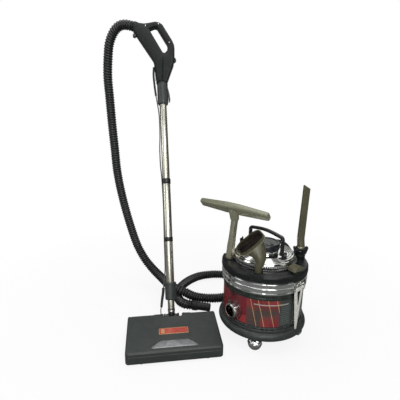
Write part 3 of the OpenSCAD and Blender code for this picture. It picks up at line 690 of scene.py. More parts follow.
def drum_hem():
    """The rolled foot of the drum and the seam above the label."""
    r = high("dirt_drum").x
    hem = lathe(arc(r + 0.3, 101.2, 1.5, 0, 345, 10), 144)
    seam = lathe(arc(r + 0.2, LABEL_TOP + 0.6, 1.0, 0, 345, 8), 144)
    piece("drum_hem", joined(hem, seam), DRUM, "canister")


def deck_band():
    lo, hi = low("motor_deck"), high("motor_deck")
    outer = hi.x
    profile = fillet([(40, hi.z - 4), (148, hi.z - 4), (148, lo.z + 1), (158.4, lo.z + 1), (158.4, lo.z),
                      (outer - 0.3, lo.z, 1.2), (outer, lo.z + 6, 1), (outer - 0.6, lo.z + 7.5, 0.8),
                      (outer - 0.2, lo.z + 9, 1), (outer, hi.z - 0.2, 1), (40, hi.z - 0.1)], 3)
    piece("deck_band", lathe(profile, 144), BAND, "canister", ["motor_deck"])


def skirt():
    base, top = low("motor_skirt").z, high("motor_skirt").z
    r = 164.0
    profile = [(162.2, base), (150.5, base), (150.5, base + 1.2), (162, base + 1.4), (162.2, top), (r, top)]
    for z in (280, 262):
        profile += [(r + 3.4 * sin(pi * t / 12), z + 3.0 * cos(pi * t / 12)) for t in range(13)]
    profile += [(r, base + 6.5), (r + 0.6, base + 5.0), (r + 2.0, base + 4.2), (r + 2.0, base + 0.6),
                (r + 1.4, base)]
    piece("skirt", lathe(profile, 160), CHROME, "canister", ["motor_skirt"])


LOUVRES = 96


def dome():
    """Pressed dome: an upright wall of raised, open louvres, a stepped shoulder and a neck."""
    base, top = low("louver_dome").z, high("louver_dome").z
    rim = high("louver_dome").x
    outline = [(rim, base + 0.4), (124.5, base + 1.2, 2), (122, base + 4, 2), (122, 334, 4),
               (118.5, 339.5, 2)]
    for r in (113, 104, 95, 86):
        z = 340.3 + (118 - r) * 0.10
        outline += [(r, z - 0.6, 0.8), (r - 1.2, z + 3.6, 1), (r - 3.6, z + 3.6, 1), (r - 4.8, z - 0.2, 0.8)]
    outline += [(60, 346, 6), (50, 347, 4), (50, top)]
    outline = fillet(outline, 3, closed=False)
    fine = []
    for a, b in zip(outline, outline[1:]):
        cuts = max(1, int(math.dist(a, b) / 2.5))
        fine += [(a[0] + (b[0] - a[0]) * i / cuts, a[1] + (b[1] - a[1]) * i / cuts) for i in range(cuts)]
    fine.append(outline[-1])
    raise_at = (0.2, 2.4, 2.4, 0.2)
    open_columns = (2, 3)
    per = len(raise_at)
    steps = LOUVRES * per
    slots_low, slots_high, wall_r = 313, 332, 121
    slot_rows = [i for i, (r, z) in enumerate(fine) if slots_low < z < slots_high and r > wall_r]
    first, last = slot_rows[0], slot_rows[-1]
    points = []
    for i, (r, z) in enumerate(fine):
        share = 0.0
        if first < i < last:
            share = sin(pi * (i - first) / (last - first)) ** 0.35
        for k in range(steps):
            a = 2 * pi * (k + 0.5) / steps
            rr = r + raise_at[k % per] * share
            points.append(Vector((rr * cos(a), rr * sin(a), z)))
    faces = []
    for i in range(len(fine) - 1):
        for k in range(steps):
            if first < i < last - 1 and k % per in open_columns:
                continue
            m = (k + 1) % steps
            faces.append((i * steps + k, i * steps + m, (i + 1) * steps + m, (i + 1) * steps + k))
    piece("louvre_dome", (points, faces), CHROME, "canister", ["louver_dome"], solid=0.8,
          sharp=50)


def cap():
    base, top = low("motor_cap").z, high("motor_cap").z
    r = high("motor_cap").x
    shell = turned([(44, base + 0.2), (r - 1, base + 0.2, 1), (r, base + 3, 1.5), (r, top - 7, 4),
                    (r - 3.5, top, 3), (r - 6.5, top - 0.3, 1.2), (r - 8, top - 2.5, 1.5), (20, top - 2),
                    (0, top - 2), (0, top - 4), (r - 10, top - 5), (r - 3, base + 4), (44, base + 2)], 4, 96)
    piece("cap", shell, CAP, "canister", ["motor_cap"], sharp=50)
    # The lighter ring on the cap's rim is a painted gloss highlight.
    rim = turned([(r - 3.0, top + 0.25, 0.6), (r - 7.8, top + 0.25, 0.6), (r - 7.8, top - 1, 0.3),
                  (r - 3.0, top - 1, 0.3)], 3, 96)
    piece("cap_rim_highlight", rim, CAP_RIM_HIGHLIGHT, "canister", sharp=50)
    slot = at_azimuth(SWITCH_AZ, SWITCH_RING, top)
    frame_shape = moved(prism(round_rect(32, 19, 3), -2.4, -0.9), slot)
    piece("switch_frame", frame_shape, BLACK, "canister", bevel=0.5)


def switch():
    slot = at_azimuth(SWITCH_AZ, SWITCH_RING, low("power_switch").z)
    outline = fillet([(-12, 0, 0.5), (12, 0, 0.5), (12, 8.3, 1.5), (4, 6.6, 4), (-4, 5.8, 4),
                      (-12, 7.0, 1.5)], 4)
    rocker = moved(prism(outline, -6, 6), slot @ turn(90, "X"))
    piece("rocker", rocker, SWITCH, "switch", ["power_switch"], bevel=0.5)


def caddy():
    outer = 168.4
    inner = 122.7
    profile = fillet([(165.3, 286.2, 1), (outer, 286, 1.2), (outer, 305, 2), (166.0, 309.6, 3),
                      (161, 311.3, 3), (148, 312, 8), (130, 311.5, 4), (inner, 310, 2), (inner, 299),
                      (inner + 2, 299), (inner + 2.5, 308, 1), (160, 308.4, 3), (165.3, 303, 3)], 4)
    ring = part_ring(profile, CADDY_FROM, CADDY_TO)
    bead = part_ring(arc(outer - 0.2, 290.5, 0.9, -90, 225, 8), CADDY_FROM, CADDY_TO)
    collars = []
    for az, r, size, bore in ((BLOCK_AZ, BRUSH_RING, 19.2, 15.6), (WEDGE_AZ, WEDGE_RING, 16, 12.6),
                              (CLIP_AZ, CLIP_RING, 19, 15.6)):
        collar = turned([(bore, 298), (size, 298), (size, 314.2, 1.4), (bore, 314.6, 1)], 3, 48)
        collars.append(moved(collar, at_azimuth(az, r)))
    collar = turned([(15.6, -9), (20, -9), (20.6, 6, 1), (19.4, 12, 2), (15.6, 12.5, 1)], 3, 48)
    collars.append(moved(collar, FLOOR_SOCKET))
    piece("caddy_ring", joined(ring, bead, *collars), CADDY, "canister", ["tool_caddy"],
          sharp=50)
    block = fillet([(-22.5, -170.4, 2), (22.5, -170.4, 2), (22.5, -152, 3), (-22.5, -152, 3)], 3)
    piece("caddy_block", moved(prism(block, 287.5, 317.5), turn(BLOCK_AZ, "Z")), CADDY, "canister",
          bevel=1.6, bevel_steps=3)


def clip():
    base, top = low("crevice_clip").z, high("crevice_clip").z
    place = at_azimuth(CLIP_AZ, CLIP_RING)
    body = turned([(15.8, base), (19.5, base, 1), (19.2, base + 22, 3), (20.6, base + 30, 4),
                   (24, top - 3, 1.5), (19.5, top - 3.6, 1), (15.8, base + 32, 2)], 3, 48)
    piece("tool_clip", moved(body, place), CADDY, "canister", ["crevice_clip"], sharp=45)
    facing_front = shift(*place.to_translation())
    ear = prism(fillet([(-3, 16, 2), (3, 18, 2), (10, 42, 3), (8, 48, 2.5), (1, 46, 3), (-3, 38, 3)], 3),
                -6, 6)
    ears = [moved(ear, facing_front @ turn(a, "Z") @ shift(x=19.5, z=base) @ turn(90, "X"))
            for a in (0, 180)]
    band = moved(lathe(arc(19.4, base + 14, 1.4, 0, 330, 8), 48), place)
    piece("tool_clip_ears", joined(band, *ears), BLACK, "canister", bevel=0.8)
    screw = domed_screw(3.2, facing_front @ turn(-14, "Z") @ shift(0, -20.5, base + 34) @ turn(90, "X"))
    piece("tool_clip_screw", screw, STEEL, "canister")


def hooks():
    post = prism(round_rect(12, 12, 3, 3), 341, 366, 2)
    outline = fillet([(-6, -6, 1), (6, -6, 1), (7.5, 12, 2), (3.5, 14, 1), (1, 6, 2), (-6, 4, 2)], 3)
    head = moved(prism(outline, -6, 6), shift(z=362) @ turn(90, "X"))
    foot = prism(round_rect(18, 16, 3, 3), 342.5, 346)
    shape = moved(joined(post, head, foot), shift(-85, 75))
    stand = moved(prism(round_rect(16, 8, 2, 3), 291.8, 315), shift(y=-148))
    arm = moved(prism(round_rect(16, 48, 3, 3), 312, 316), shift(y=-168))
    lip = moved(prism(round_rect(16, 4, 1.6, 3), 313, 330), shift(y=-190))
    piece("hook_post", joined(shape, moved(joined(stand, arm, lip), turn(CORD_AZ, "Z"))), BLACK, "canister",
          ["cord_hook"], bevel=0.9)


# ---------- carry handle ----------

def handle_arch():
    foot_z = joint_at("carry_handle_fold").z
    crown = high("carry_handle").z - 0.6
    half = 83.5
    path = [Vector((0, -half, foot_z - 6)), Vector((0, -half, foot_z + 16)), Vector((0, -half, crown - 26)),
            Vector((0, -half + 0.8, crown - 15)), Vector((0, -half + 7, crown - 8.6))]
    for k in range(9):
        y = -half + 19 + (2 * half - 38) * k / 8
        path.append(Vector((0, y, crown - 8 + 8 * cos(pi * y / 144))))
    path += [Vector((0, -p.y, p.z)) for p in reversed(path[:5])]
    path = smooth_outline(path, 4, closed=False)
    section = round_rect(13.6, 12.4, 4, 4)
    rings = []
    count = len(path)
    across = Vector((1, 0, 0))
    for i, p in enumerate(path):
        t = (path[min(i + 1, count - 1)] - path[max(i - 1, 0)]).normalized()
        rings.append([p + across * x + t.cross(across) * y for x, y in section])
    hub = turned([(3.2, -6.5), (9.2, -6.5, 1.4), (9.2, 6.5, 1.4), (3.2, 6.5)], 3, 40)
    hubs = [moved(hub, shift(0, side * half, foot_z) @ turn(90, "X")) for side in (-1, 1)]
    place = turn(HANDLE_AZ, "Z")
    piece("carry_arch", moved(joined(grid(rings), *hubs), place), BLACK, "carry_handle", ["carry_handle"],
          sharp=50)
    screws = [domed_screw(2.3, place @ shift(-6.6, side * (half - 2), crown - 22) @ turn(-90, "Y"))
              for side in (-1, 1)]
    piece("carry_screws", joined(*screws), STEEL, "carry_handle")


def handle_feet():
    foot_z = joint_at("carry_handle_fold").z
    shapes = []
    pins = []
    for a in (0, 180):
        place = turn(HANDLE_AZ + a, "Z")
        outline = fillet([(-12, 341, 2), (12, 341, 2), (10.5, foot_z, 5), (7.4, foot_z + 10, 6),
                          (-7.4, foot_z + 10, 6), (-10.5, foot_z, 5)], 4)
        plate = moved(prism(outline, 91.2, 99), turn(90, "X"))
        axle = moved(prism(circle(2.9, 20), 76.5, 92), shift(0, 0, foot_z) @ turn(90, "X"))
        base = moved(prism(round_rect(28, 14, 4, 3), 341.5, 345.5), shift(y=-95))
        shapes.append(moved(joined(plate, axle, base), place))
        pins.append(domed_screw(4.2, place @ shift(0, -98.8, foot_z) @ turn(90, "X")))
    piece("handle_feet", joined(*shapes), BLACK, "canister", ["handle_brackets"], bevel=0.7)
    piece("handle_pins", joined(*pins), STEEL, "canister")


# ---------- latches ----------

def lever(side, azimuth, body, node):
    """A latch blade: a folded strip that widens upwards to a barrel on its pin."""
    pin_z = joint_at(f"{body}_open").z
    place = at_azimuth(azimuth)
    rings = []
    levels = [(85.4, 2.2), (88, 5), (110, 7.8), (140, 11.6), (170, 15.4), (200, 19.3), (230, 23.2),
              (236, 23.9), (250, 23.9)]
    thickness = 1.5
    for z, half in levels:
        lift = 1.7 * min(1.0, (z - 85) / 12)
        profile = [(-half, 0.0), (-half + 0.5, 0.9), (-half * 0.35, lift), (half * 0.30, lift * 0.8),
                   (half - 0.5, 0.6), (half, 0.0)]
        outer = [Vector((x, -169.3 - y, z)) for x, y in profile]
        inner = [Vector((x * 0.96, -169.3 - y + thickness, z)) for x, y in reversed(profile)]
        rings.append(outer + inner)
    barrel = moved(turned([(2.6, -23.8), (5.3, -23.8, 0.8), (5.3, 23.8, 0.8), (2.6, 23.8)], 2, 32),
                   shift(0, -LATCH_RING, pin_z) @ turn(90, "Y"))
    piece(f"latch_blade_{side}", moved(joined(grid(rings), barrel), place), LEVER, body, [node],
          sharp=28)
    # A near-black sheet on the blade: painted shade in the blade's recess.
    outline = fillet([(-1, 188, 1), (1, 188, 1), (9, 244, 1), (-9, 244, 1)], 3)
    recess_shade = moved(prism(outline, 170.4, 171.2), turn(90, "X"))
    piece(f"latch_recess_shade_{side}", moved(recess_shade, place), DARK, body, bevel=0.2)


def latch_mounts():
    pin_z = joint_at("latch_right_open").z
    shapes = []
    for a in (0, 180):
        place = at_azimuth(LATCH_AZ + a)
        for x in (-28.5, 28.5):
            cheek = fillet([(-175, 246, 2), (-164.6, 246, 1), (-164.6, 268, 2), (-170, 268, 3),
                            (-175.2, 261, 3)], 3)
            shapes.append(moved(prism(cheek, x - 1.3, x + 1.3), place @ turn(90, "Z") @ turn(90, "X")))
        pin = place @ shift(0, -LATCH_RING, pin_z) @ turn(90, "Y")
        shapes.append(moved(prism(circle(2.4, 20), -30, 30), pin))
        wire = [(x, -169.5, z) for x, z in
                ((-12, 258.5), (-12, 268), (-8, 269.5), (8, 269.5), (12, 268), (12, 258.5))]
        shapes.append(moved(sweep(smooth_outline(wire, 4, False), circle(1.3, 10)), place))
    piece("latch_mounts", joined(*shapes), CHROME, "canister", ["latch_brackets"], bevel=0.3)


def latch_rails():
    """Painted keeper strip under each blade."""
    strip = prism(round_rect(8, 2.2, 0.8, 2), 106, 216)
    shapes = [moved(strip, at_azimuth(LATCH_AZ + a) @ shift(-11, -159.2)) for a in (0, 180)]
    piece("latch_rails", joined(*shapes), WIRE, "canister", bevel=0.3)


# ---------- inlet ----------

def inlet():
    drum = high("dirt_drum").x
    place = at_azimuth(INLET_AZ, 0, (low("inlet_port").z + high("inlet_port").z) / 2)

    def on_drum(shape):
        """Bends a shape drawn on a flat face so that its foot follows the drum."""
        points = []
        for p in shape[0]:
            x, z, h = p.x, p.y, p.z
            share = clamp((14 - h) / 10) if h > -1 else 0.0
            r = drum + 0.7
            sag = (r - math.sqrt(max(r * r - x * x, 1.0))) * share
            points.append(Vector((x, -(r + h - sag), z)))
        return moved((points, shape[1]), place)

    ring = turned([(22.1, 19.6), (24.2, 20, 0.9), (28.6, 18.2, 1.6), (29.0, 4.8, 1), (26.4, 4.0),
                   (26.4, -27), (22.1, -27)], 4, 72)
    flange = turned([(29.2, 5.0, 0.8), (33, 4.4, 2), (38.6, 3.6, 1.4), (40, 1.2, 0.6), (39.8, 0.4),
                     (26.6, 0.4), (26.6, 4.6)], 4, 72)
    piece("inlet_ring", on_drum(ring), CHROME, "canister", ["inlet_port"], sharp=45)
    piece("inlet_flange", on_drum(flange), FLANGE, "canister", sharp=45)
    screws = []
    screw_ring = 34.5
    for a in (45, 135, 225, 315):
        x, z = screw_ring * cos(radians(a)), screw_ring * sin(radians(a))
        r = math.sqrt(drum * drum - x * x) + 4.2
        screws.append(domed_screw(3.1, place @ shift(x, -r, z) @ turn(90, "X")))
    piece("inlet_screws", joined(*screws), STEEL, "canister", ["canister_screws"])


# ---------- casters ----------

BALL_R = 22.0
HOOD_R = BALL_R + 3.2


def hood_shape():
    """An open ribbed dome, wider at its shoulders than at its rim."""
    rings = []
    steps, rows = 40, 14
    for row in range(rows + 1):
        tilt = radians(6 + 92 * row / rows)
        wide = 1 + 0.32 * max(0.0, cos(tilt)) * sin(tilt)
        ring = []
        for k in range(steps):
            a = 2 * pi * k / steps
            r = HOOD_R + (1.2 + 1.2 * cos(8 * a)) * sin(pi * row / rows)
            ring.append((r * wide * sin(tilt) * cos(a), r * sin(tilt) * sin(a), r * cos(tilt)))
        rings.append(ring)
    return grid(rings, caps=False)


def ball_shape():
    """A ball with two fine grooves beside its middle."""
    rings = []
    rows = 24
    for row in range(1, rows):
        tilt = pi * row / rows
        groove = 0.7 if row in (11, 13) else 0.0
        rings.append([(BALL_R * cos(tilt), y, z) for y, z in circle(BALL_R * sin(tilt) - groove, 40)])
    return grid(rings)


def casters():
    for i in range(1, 5):
        swivel = joint_at(f"caster_{i}_swivel")
        centre = joint_at(f"ball_{i}_roll")
        ahead = (centre - Vector((swivel.x, swivel.y, centre.z))).normalized()
        place = frame_from(centre, joint(f"ball_{i}_roll")["axis"], (0, 0, 1))
        lean = -34 if (place.to_3x3() @ Vector((0, 1, 0))).dot(ahead) > 0 else 34
        piece(f"caster_hood_shell_{i}", moved(hood_shape(), place @ turn(lean, "X")), CHROME, f"caster_{i}",
              [f"caster_hood_{i}"], solid=1.4, sharp=50)
        stem = spindle([(0.1, 44), (8, 44, 1), (8, 48.6, 1), (5, 49.4, 0.6), (5, 77.5, 1), (0.1, 77.9)],
                       3, 32)
        stem = moved(stem, shift(swivel.x, swivel.y))
        axle = moved(prism(circle(2.9, 20), -HOOD_R - 1.0, HOOD_R + 1.0), place @ turn(90, "Y"))
        piece(f"caster_stem_{i}", joined(stem, axle), STEEL, f"caster_{i}", bevel=0.4)
        piece(f"caster_ball_tread_{i}", moved(ball_shape(), place), BLACK, f"ball_{i}",
              [f"caster_ball_{i}"], sharp=60)


# ---------- stored tools ----------

HEAD_AT = Vector((-132, -10, 519.5))
HEAD = shift(*HEAD_AT) @ turn(-38.5, "Z") @ turn(1.2, "Y") @ turn(-50, "X")


def head_taper(x):
    """0 in the middle of the floor tool's head, rising to 1 towards its ends."""
    return clamp((abs(x) - 28) / 118)


def floor_head():
    """The head lies on its side: a wide bar that tapers to both ends."""
    half = 150.0
    rings = []
    count = 80
    for i in range(count + 1):
        x = -half + 2 * half * i / count
        share = head_taper(x)
        end = max(0.0, (abs(x) - 147) / 3.2)
        squeeze = math.sqrt(max(0.0, 1 - end * end))
        depth = (46 - 12 * share) * (0.86 + 0.14 * squeeze)
        low_z, high_z = -13.2 + 1.9 * share, 13 - 5 * share
        mid, h = (low_z + high_z) / 2, (high_z - low_z) * (0.84 + 0.16 * squeeze)
        rings.append([Vector((x, py, mid + pz)) for py, pz in round_rect(depth, h, h * 0.30, 6)])
    piece("floor_head", moved(grid(rings), HEAD), OLIVE, "floor_tool", ["floor_tool"], sharp=60)
    # A near-black line along the head's lower edge: painted shade under the edge.
    strip = []
    for i in range(61):
        x = -142 + 284 * i / 60
        if abs(x) > 24:
            strip.append((x, 21.6 - 5.8 * head_taper(x), -9.6 + 1.6 * head_taper(x)))
    edge_shade_lines = [sweep([Vector(p) for p in strip if p[0] * side > 0], circle(1.5, 10)) for side in (-1, 1)]
    piece("floor_head_edge_shade", moved(joined(*edge_shade_lines), HEAD), DARK, "floor_tool")


def floor_neck():
    """The round neck stands in its socket and a hub flattens from it into the head."""
    neck = spindle([(0.1, -9.5), (15.4, -9.5, 0.6), (15.4, 12, 1), (15.6, 66, 2), (14.8, 78, 2),
                    (13.8, 100, 3), (13.5, 150, 3), (13.6, 172), (0.1, 173)], 4, 48)
    piece("floor_neck", moved(neck, FLOOR_SOCKET), CHAMPAGNE, "floor_tool", sharp=50)
    start = FLOOR_SOCKET @ Vector((0, 0, 171))
    way = HEAD_AT + Vector((0, 0, 4)) - start
    side = (HEAD.to_3x3() @ Vector((1, 0, 0))).normalized()
    rings = []
    for share, wide, deep in ((0, 13.6, 13.6), (0.0, 16.2, 15.8), (0.03, 17.0, 16.4), (0.35, 18.5, 17.0),
                              (0.62, 21.5, 17.2), (0.85, 27, 15.5), (0.97, 29, 11), (1.0, 26, 7)):
        rings.append([start + way * share + side * wide * c + way.cross(side).normalized() * deep * d
                      for c, d in circle(1, 40)])
    piece("floor_hub", grid(rings), OLIVE, "floor_tool", sharp=60)


def floor_bristles():
    rng = random.Random(7)
    shapes = []
    for y in (-5.5, 5.5):
        for i in range(150):
            x = -121 + 242 * i / 149 + rng.uniform(-0.5, 0.5)
            lean_x, lean_y = rng.uniform(-0.8, 0.8), rng.uniform(-0.8, 0.8)
            top = 13 - 5 * head_taper(x)
            base = Vector((x, y + rng.uniform(-2, 2), top - 3))
            shapes.append(strand(base, 0.8, Vector((x + lean_x, y + lean_y, top + 2)), 0.45))
    piece("floor_bristle_rows", moved(joined(*shapes), HEAD), BRISTLE, "floor_tool", ["floor_tool_bristles"],
          sharp=0)


LIP = shift(-82, -115, 426) @ turn(-140.7, "Z") @ turn(45.5, "Y") @ turn(-24.5, "Z")


def rounded_oblong(square, n=48):
    """A unit circle that turns into a rounded square as square goes to 1."""
    power = 1 - 0.45 * square
    return [(bent(x, power), bent(y, power)) for x, y in circle(1, n)]


MOUTH_WIDE = 1.95


def dusting():
    az = radians(BLOCK_AZ)
    neck = Vector((BRUSH_RING * sin(az), -BRUSH_RING * cos(az), 338))
    mouth_axis = (LIP.to_3x3() @ Vector((0, 0, 1))).normalized()
    back = LIP.to_translation() - mouth_axis * 24
    bend = neck + Vector((19, 3, 34))
    rings = []
    steps = 18
    side = (LIP.to_3x3() @ Vector((1, 0, 0))).normalized()
    for i in range(-3, steps + 1):
        s = max(i, 0) / steps
        p = (1 - s) ** 2 * neck + 2 * s * (1 - s) * bend + s * s * back
        if i < 0:
            p = neck + Vector((0, 0, i * 13.5))
        t = (2 * (1 - s) * (bend - neck) + 2 * s * (back - bend)).normalized()
        if i == steps:
            t = mouth_axis
        u = (side - side.dot(t) * t).normalized()
        v = t.cross(u)
        width = 15.4 + 8.2 * s ** 1.5 + 1.8 * sin(pi * s)
        wide = 1 + 0.9 * s ** 2
        rings.append([p + u * width * wide * x + v * width * y for x, y in rounded_oblong(0.8 * s * s)])
    for z, w in ((-21, 24.6), (-19.5, 26.4), (-17, 27.6), (-4, 28.4), (-2.5, 28.6), (-0.6, 28.0), (0, 27.6),
                 (-0.6, 27.1), (-4, 26.8), (-15.6, 26.3)):
        rings.append([LIP @ Vector((x * w * MOUTH_WIDE, y * w, z)) for x, y in rounded_oblong(0.9)])
    piece("dusting_horn", grid(rings), OLIVE_DARK, "dusting_brush", ["dusting_brush"], sharp=60)
    # The raised collar band is drawn in the lighter olive: a painted highlight on the collar.
    band = [[(x * MOUTH_WIDE * w, y * w, z) for x, y in rounded_oblong(0.9)]
            for w, z in ((27.9, -17.6), (28.8, -17), (28.8, -14), (27.9, -13.4))]
    piece("dusting_band_highlight", moved(grid(band, caps=False), LIP), OLIVE, "dusting_brush")


def dusting_hair():
    rng = random.Random(11)
    shapes = []
    outline = rounded_oblong(0.9, 150)
    for ring_r in (24.0, 21.5, 19.0, 16.0, 12.5, 9.0, 5.5):
        for x, y in outline:
            x, y = x + rng.uniform(-0.02, 0.02), y + rng.uniform(-0.02, 0.02)
            base = Vector((ring_r * MOUTH_WIDE * x, ring_r * y, -15.5))
            tip = Vector((base.x * 0.97 + rng.uniform(-1.2, 1.2), base.y * 0.97 + rng.uniform(-1.2, 1.2),
                          -3.5 + rng.uniform(-3, 0)))
            shapes.append(strand(base, 0.9, tip, 0.6))
    floor = prism([(x * 25.1 * MOUTH_WIDE, y * 25.1) for x, y in rounded_oblong(0.9)], -15.9, -14.8)
    piece("dusting_hair", moved(joined(floor, *shapes), LIP), BRISTLE, "dusting_brush", ["dusting_bristles"],
          sharp=0)


def crevice():
    place = at_azimuth(CLIP_AZ, CLIP_RING) @ turn(-CLIP_AZ, "Z")
    top = high("crevice_tool").z
    rings = []
    stations = [(297.2, 15.4, 15.4, 0), (356, 15.4, 15.4, 0), (366, 14.8, 14, 0), (380, 14.2, 10.5, -1.5),
                (394, 14.0, 8.0, -3.0), (420, 13.9, 7.8, -2.3), (480, 13.6, 7.6, -0.5), (540, 13.2, 7.3, 1.3)]
    for z, half_x, half_y, x0 in stations:
        power = 1 - 0.55 * clamp((z - 360) / 34)
        rings.append([(x0 + half_x * bent(c, power), half_y * bent(s, power), z) for c, s in circle(1, 32)])
    last = rings[-1]
    for share in (0.33, 0.66, 1.0):
        ring = []
        for x, y, z in last:
            tip_x = 3.2 + (x - 1.3) * 0.985
            tip_z = top + 7 - max(0.0, tip_x + 9.8) * 0.6 - max(0.0, -4.8 - tip_x) ** 2 * 0.16
            ring.append((x + (tip_x - x) * share, y * (1 - 0.04 * share), z + (tip_z - z) * share))
        rings.append(ring)
    inner = [[(3.2 + (x - 3.2) * 0.84, y * 0.80, z + 0.2) for x, y, z in rings[-1]],
             [(3.2 + (x - 3.2) * 0.80, y * 0.76, z - 40) for x, y, z in rings[-1]]]
    piece("crevice_nozzle", moved(grid(rings + inner), place), OLIVE_DARK, "crevice_tool", ["crevice_tool"],
          sharp=40)
    band = turned([(14.6, 352), (16.0, 352, 0.6), (16.0, 361, 0.6), (14.6, 361)], 2, 40)
    notch = moved(prism(round_rect(9, 5, 2, 3), -0.6, 0.9), shift(-17.0, -3, 392) @ turn(-90, "Y"))
    piece("crevice_trim", moved(joined(band, notch), place), CHAMPAGNE, "crevice_tool",
          bevel=0.3)


def upholstery():
    place = at_azimuth(WEDGE_AZ, WEDGE_RING)
    stem = moved(spindle([(0.1, 297.3), (12.4, 297.3, 0.6), (12.4, 320), (0.1, 320)], 3, 40), place)
    outline = fillet([(-25, 0, 2), (24, 0, 3), (28, 10, 2), (6, 20, 5), (-18, 14, 4)], 5)
    wedge = moved(prism(outline, -17, 17, 4), place @ shift(z=318) @ turn(90, "X"))
    piece("upholstery_wedge", wedge, OLIVE_DARK, "upholstery_tool", ["upholstery_tool"],
          bevel=2.0, bevel_steps=3)
    piece("upholstery_stem", stem, OLIVE_DARK, "upholstery_tool")


# ---------- cords ----------

def power_cord():
    """A hung coil of six strands with two ties, its lead into the canister and its plug."""
    place = at_azimuth(CORD_AZ)
    centre_z = 259
    coil_r = 67.2
    behind = -178.6
    spread = 5.4
    strands = 6
    count = 40
    shapes = []
    for number in range(strands):
        points = []
        for i in range(count):
            a = 2 * pi * i / count
            swing = 2 * pi * number / strands + 2.0 * sin(a + number)
            r = coil_r + spread * cos(swing)
            points.append(Vector((r * sin(a), behind + spread * sin(swing) * 0.95, centre_z + r * cos(a))))
        shapes.append(swept_loop(smooth_outline(points, 3), 3.1))
    tie = [(coil_r + 9.3 * x, behind + 9.0 * y, 0) for x, y in circle(1)]
    for angle in (60, 300):
        loop = [shift(z=centre_z) @ turn(angle, "Y") @ Vector(p) for p in tie]
        shapes.append(swept_loop(loop, 1.0))
    outline = fillet([(-12, -17, 4), (12, -17, 4), (12, 9, 5), (5, 17, 4), (-5, 17, 4), (-12, 9, 5)], 4)
    plug = moved(prism(outline, -9, 9, 2), shift(-4, -179.6, centre_z - 101) @ turn(90, "X"))
    relief = moved(spindle([(0.1, 0), (6, 0, 1), (3.6, 22, 1), (0.1, 22.4)], 3, 24),
                   shift(-4, -179.2, centre_z - 86))
    entry = sweep([Vector((40, y, centre_z)) for y in (-168.6, -172, -178)], circle(4.8, 20))
    piece("cord_coil", moved(joined(*shapes, relief, entry), place), CORD, "canister", ["power_cord"],
          sharp=60)
    piece("cord_plug", moved(plug, place), CORD, "canister", bevel=2.0, bevel_steps=3)
    blades = [moved(prism(round_rect(2, 6, 0.4, 1), centre_z - 133.5, centre_z - 117), shift(x, -179))
              for x in (-10, 2)]
    piece("plug_blades", moved(joined(*blades), place), STEEL, "canister", bevel=0.2)


def swept_loop(path, r):
    """Carries a circle round a closed path that lies nearly flat."""
    count = len(path)
    tangents = [(path[(i + 1) % count] - path[i - 1]).normalized() for i in range(count)]
    axis = sum((path[i].cross(path[(i + 1) % count]) for i in range(count)), Vector()).normalized()
    rings = []
    for p, t in zip(path, tangents):
        u = (axis - axis.dot(t) * t).normalized()
        v = t.cross(u)
        rings.append([p + u * x + v * y for x, y in circle(r, 12)])
    return grid(rings, loop=True)


# ---------- hose ----------

HOSE_R = 22.0
HOSE_ROUTE = [
    (-571, 405, 1247), (-605, 409, 1254), (-634, 413, 1249), (-661, 417, 1226), (-682, 420, 1186),
    (-693, 424, 1138), (-702, 428, 1038), (-698, 430, 930), (-693, 430, 817), (-686, 430, 701),
    (-678, 428, 582), (-658, 424, 459), (-627, 414, 333), (-587, 393, 215), (-546, 363, 150),
    (-503, 333, 108), (-451, 286, 80), (-400, 222, 69), (-360, 184, 69), (-325, 178, 58),
    (-288, 182, 37), (-240, 186, 25), (-190, 189, 22.3), (-130, 201, 22), (-60, 232, 22), (2, 290, 22),
    (14, 352, 22), (-18, 398, 22), (-70, 424, 22), (-131, 437, 22), (-199, 436, 22), (-262, 412, 22),
    (-312, 364, 22), (-345, 308, 22), (-361, 252, 22), (-360, 198, 22), (-344, 156, 22), (-319, 134, 22),
    (-303.5, 130.5, 22), (-288, 127, 22),
]
RIB_PITCH = 11.5


def even_path(path, step):
    """The same path with its points a fixed distance apart."""
    out = [path[0]]
    left = step
    for a, b in zip(path, path[1:]):
        length = (b - a).length
        done = 0.0
        while length - done >= left:
            done += left
            out.append(a.lerp(b, done / length))
            left = step
        left -= length - done
    return out


def hose():
    """Corrugated hose: one helical rib that winds along the whole route."""
    per_rib = 8
    path = even_path(smooth_outline(HOSE_ROUTE, 12, closed=False), RIB_PITCH / per_rib)
    sides = 20

    def rib(i, k):
        phase = (i / per_rib + k / sides) % 1.0
        crest = 0.5 + 0.5 * cos(2 * pi * phase)
        deep = 5.8 if path[i].z < 200 else 4.4
        return (HOSE_R - deep * (1 - crest ** 0.55)) / HOSE_R

    shape = sweep(path, circle(HOSE_R - 0.15, sides), rib)
    piece("hose_corrugated", shape, HOSE, "hose_unit", ["hose"], sharp=0)


def hose_cuff():
    heading = degrees(math.atan2(-7, 31))
    place = shift(*HOSE_ROUTE[-1]) @ turn(heading, "Z") @ turn(90, "Y")
    cuff = turned([(15.1, 2), (21.9, 0.2, 1), (21.9, 21, 2.5), (19.4, 23, 1), (19.3, 28, 1),
                   (17.9, 28.5, 0.6), (17.9, 80.8, 1.5), (15.1, 81.8, 1)], 4, 48)
    rings = [lathe(arc(21.2, 5 + 4 * k, 0.7, 0, 330, 6), 40) for k in range(4)]
    piece("cuff", moved(joined(cuff, *rings), place), GRIP, "hose_unit", ["hose_end_cuff"])


# ---------- handle ----------

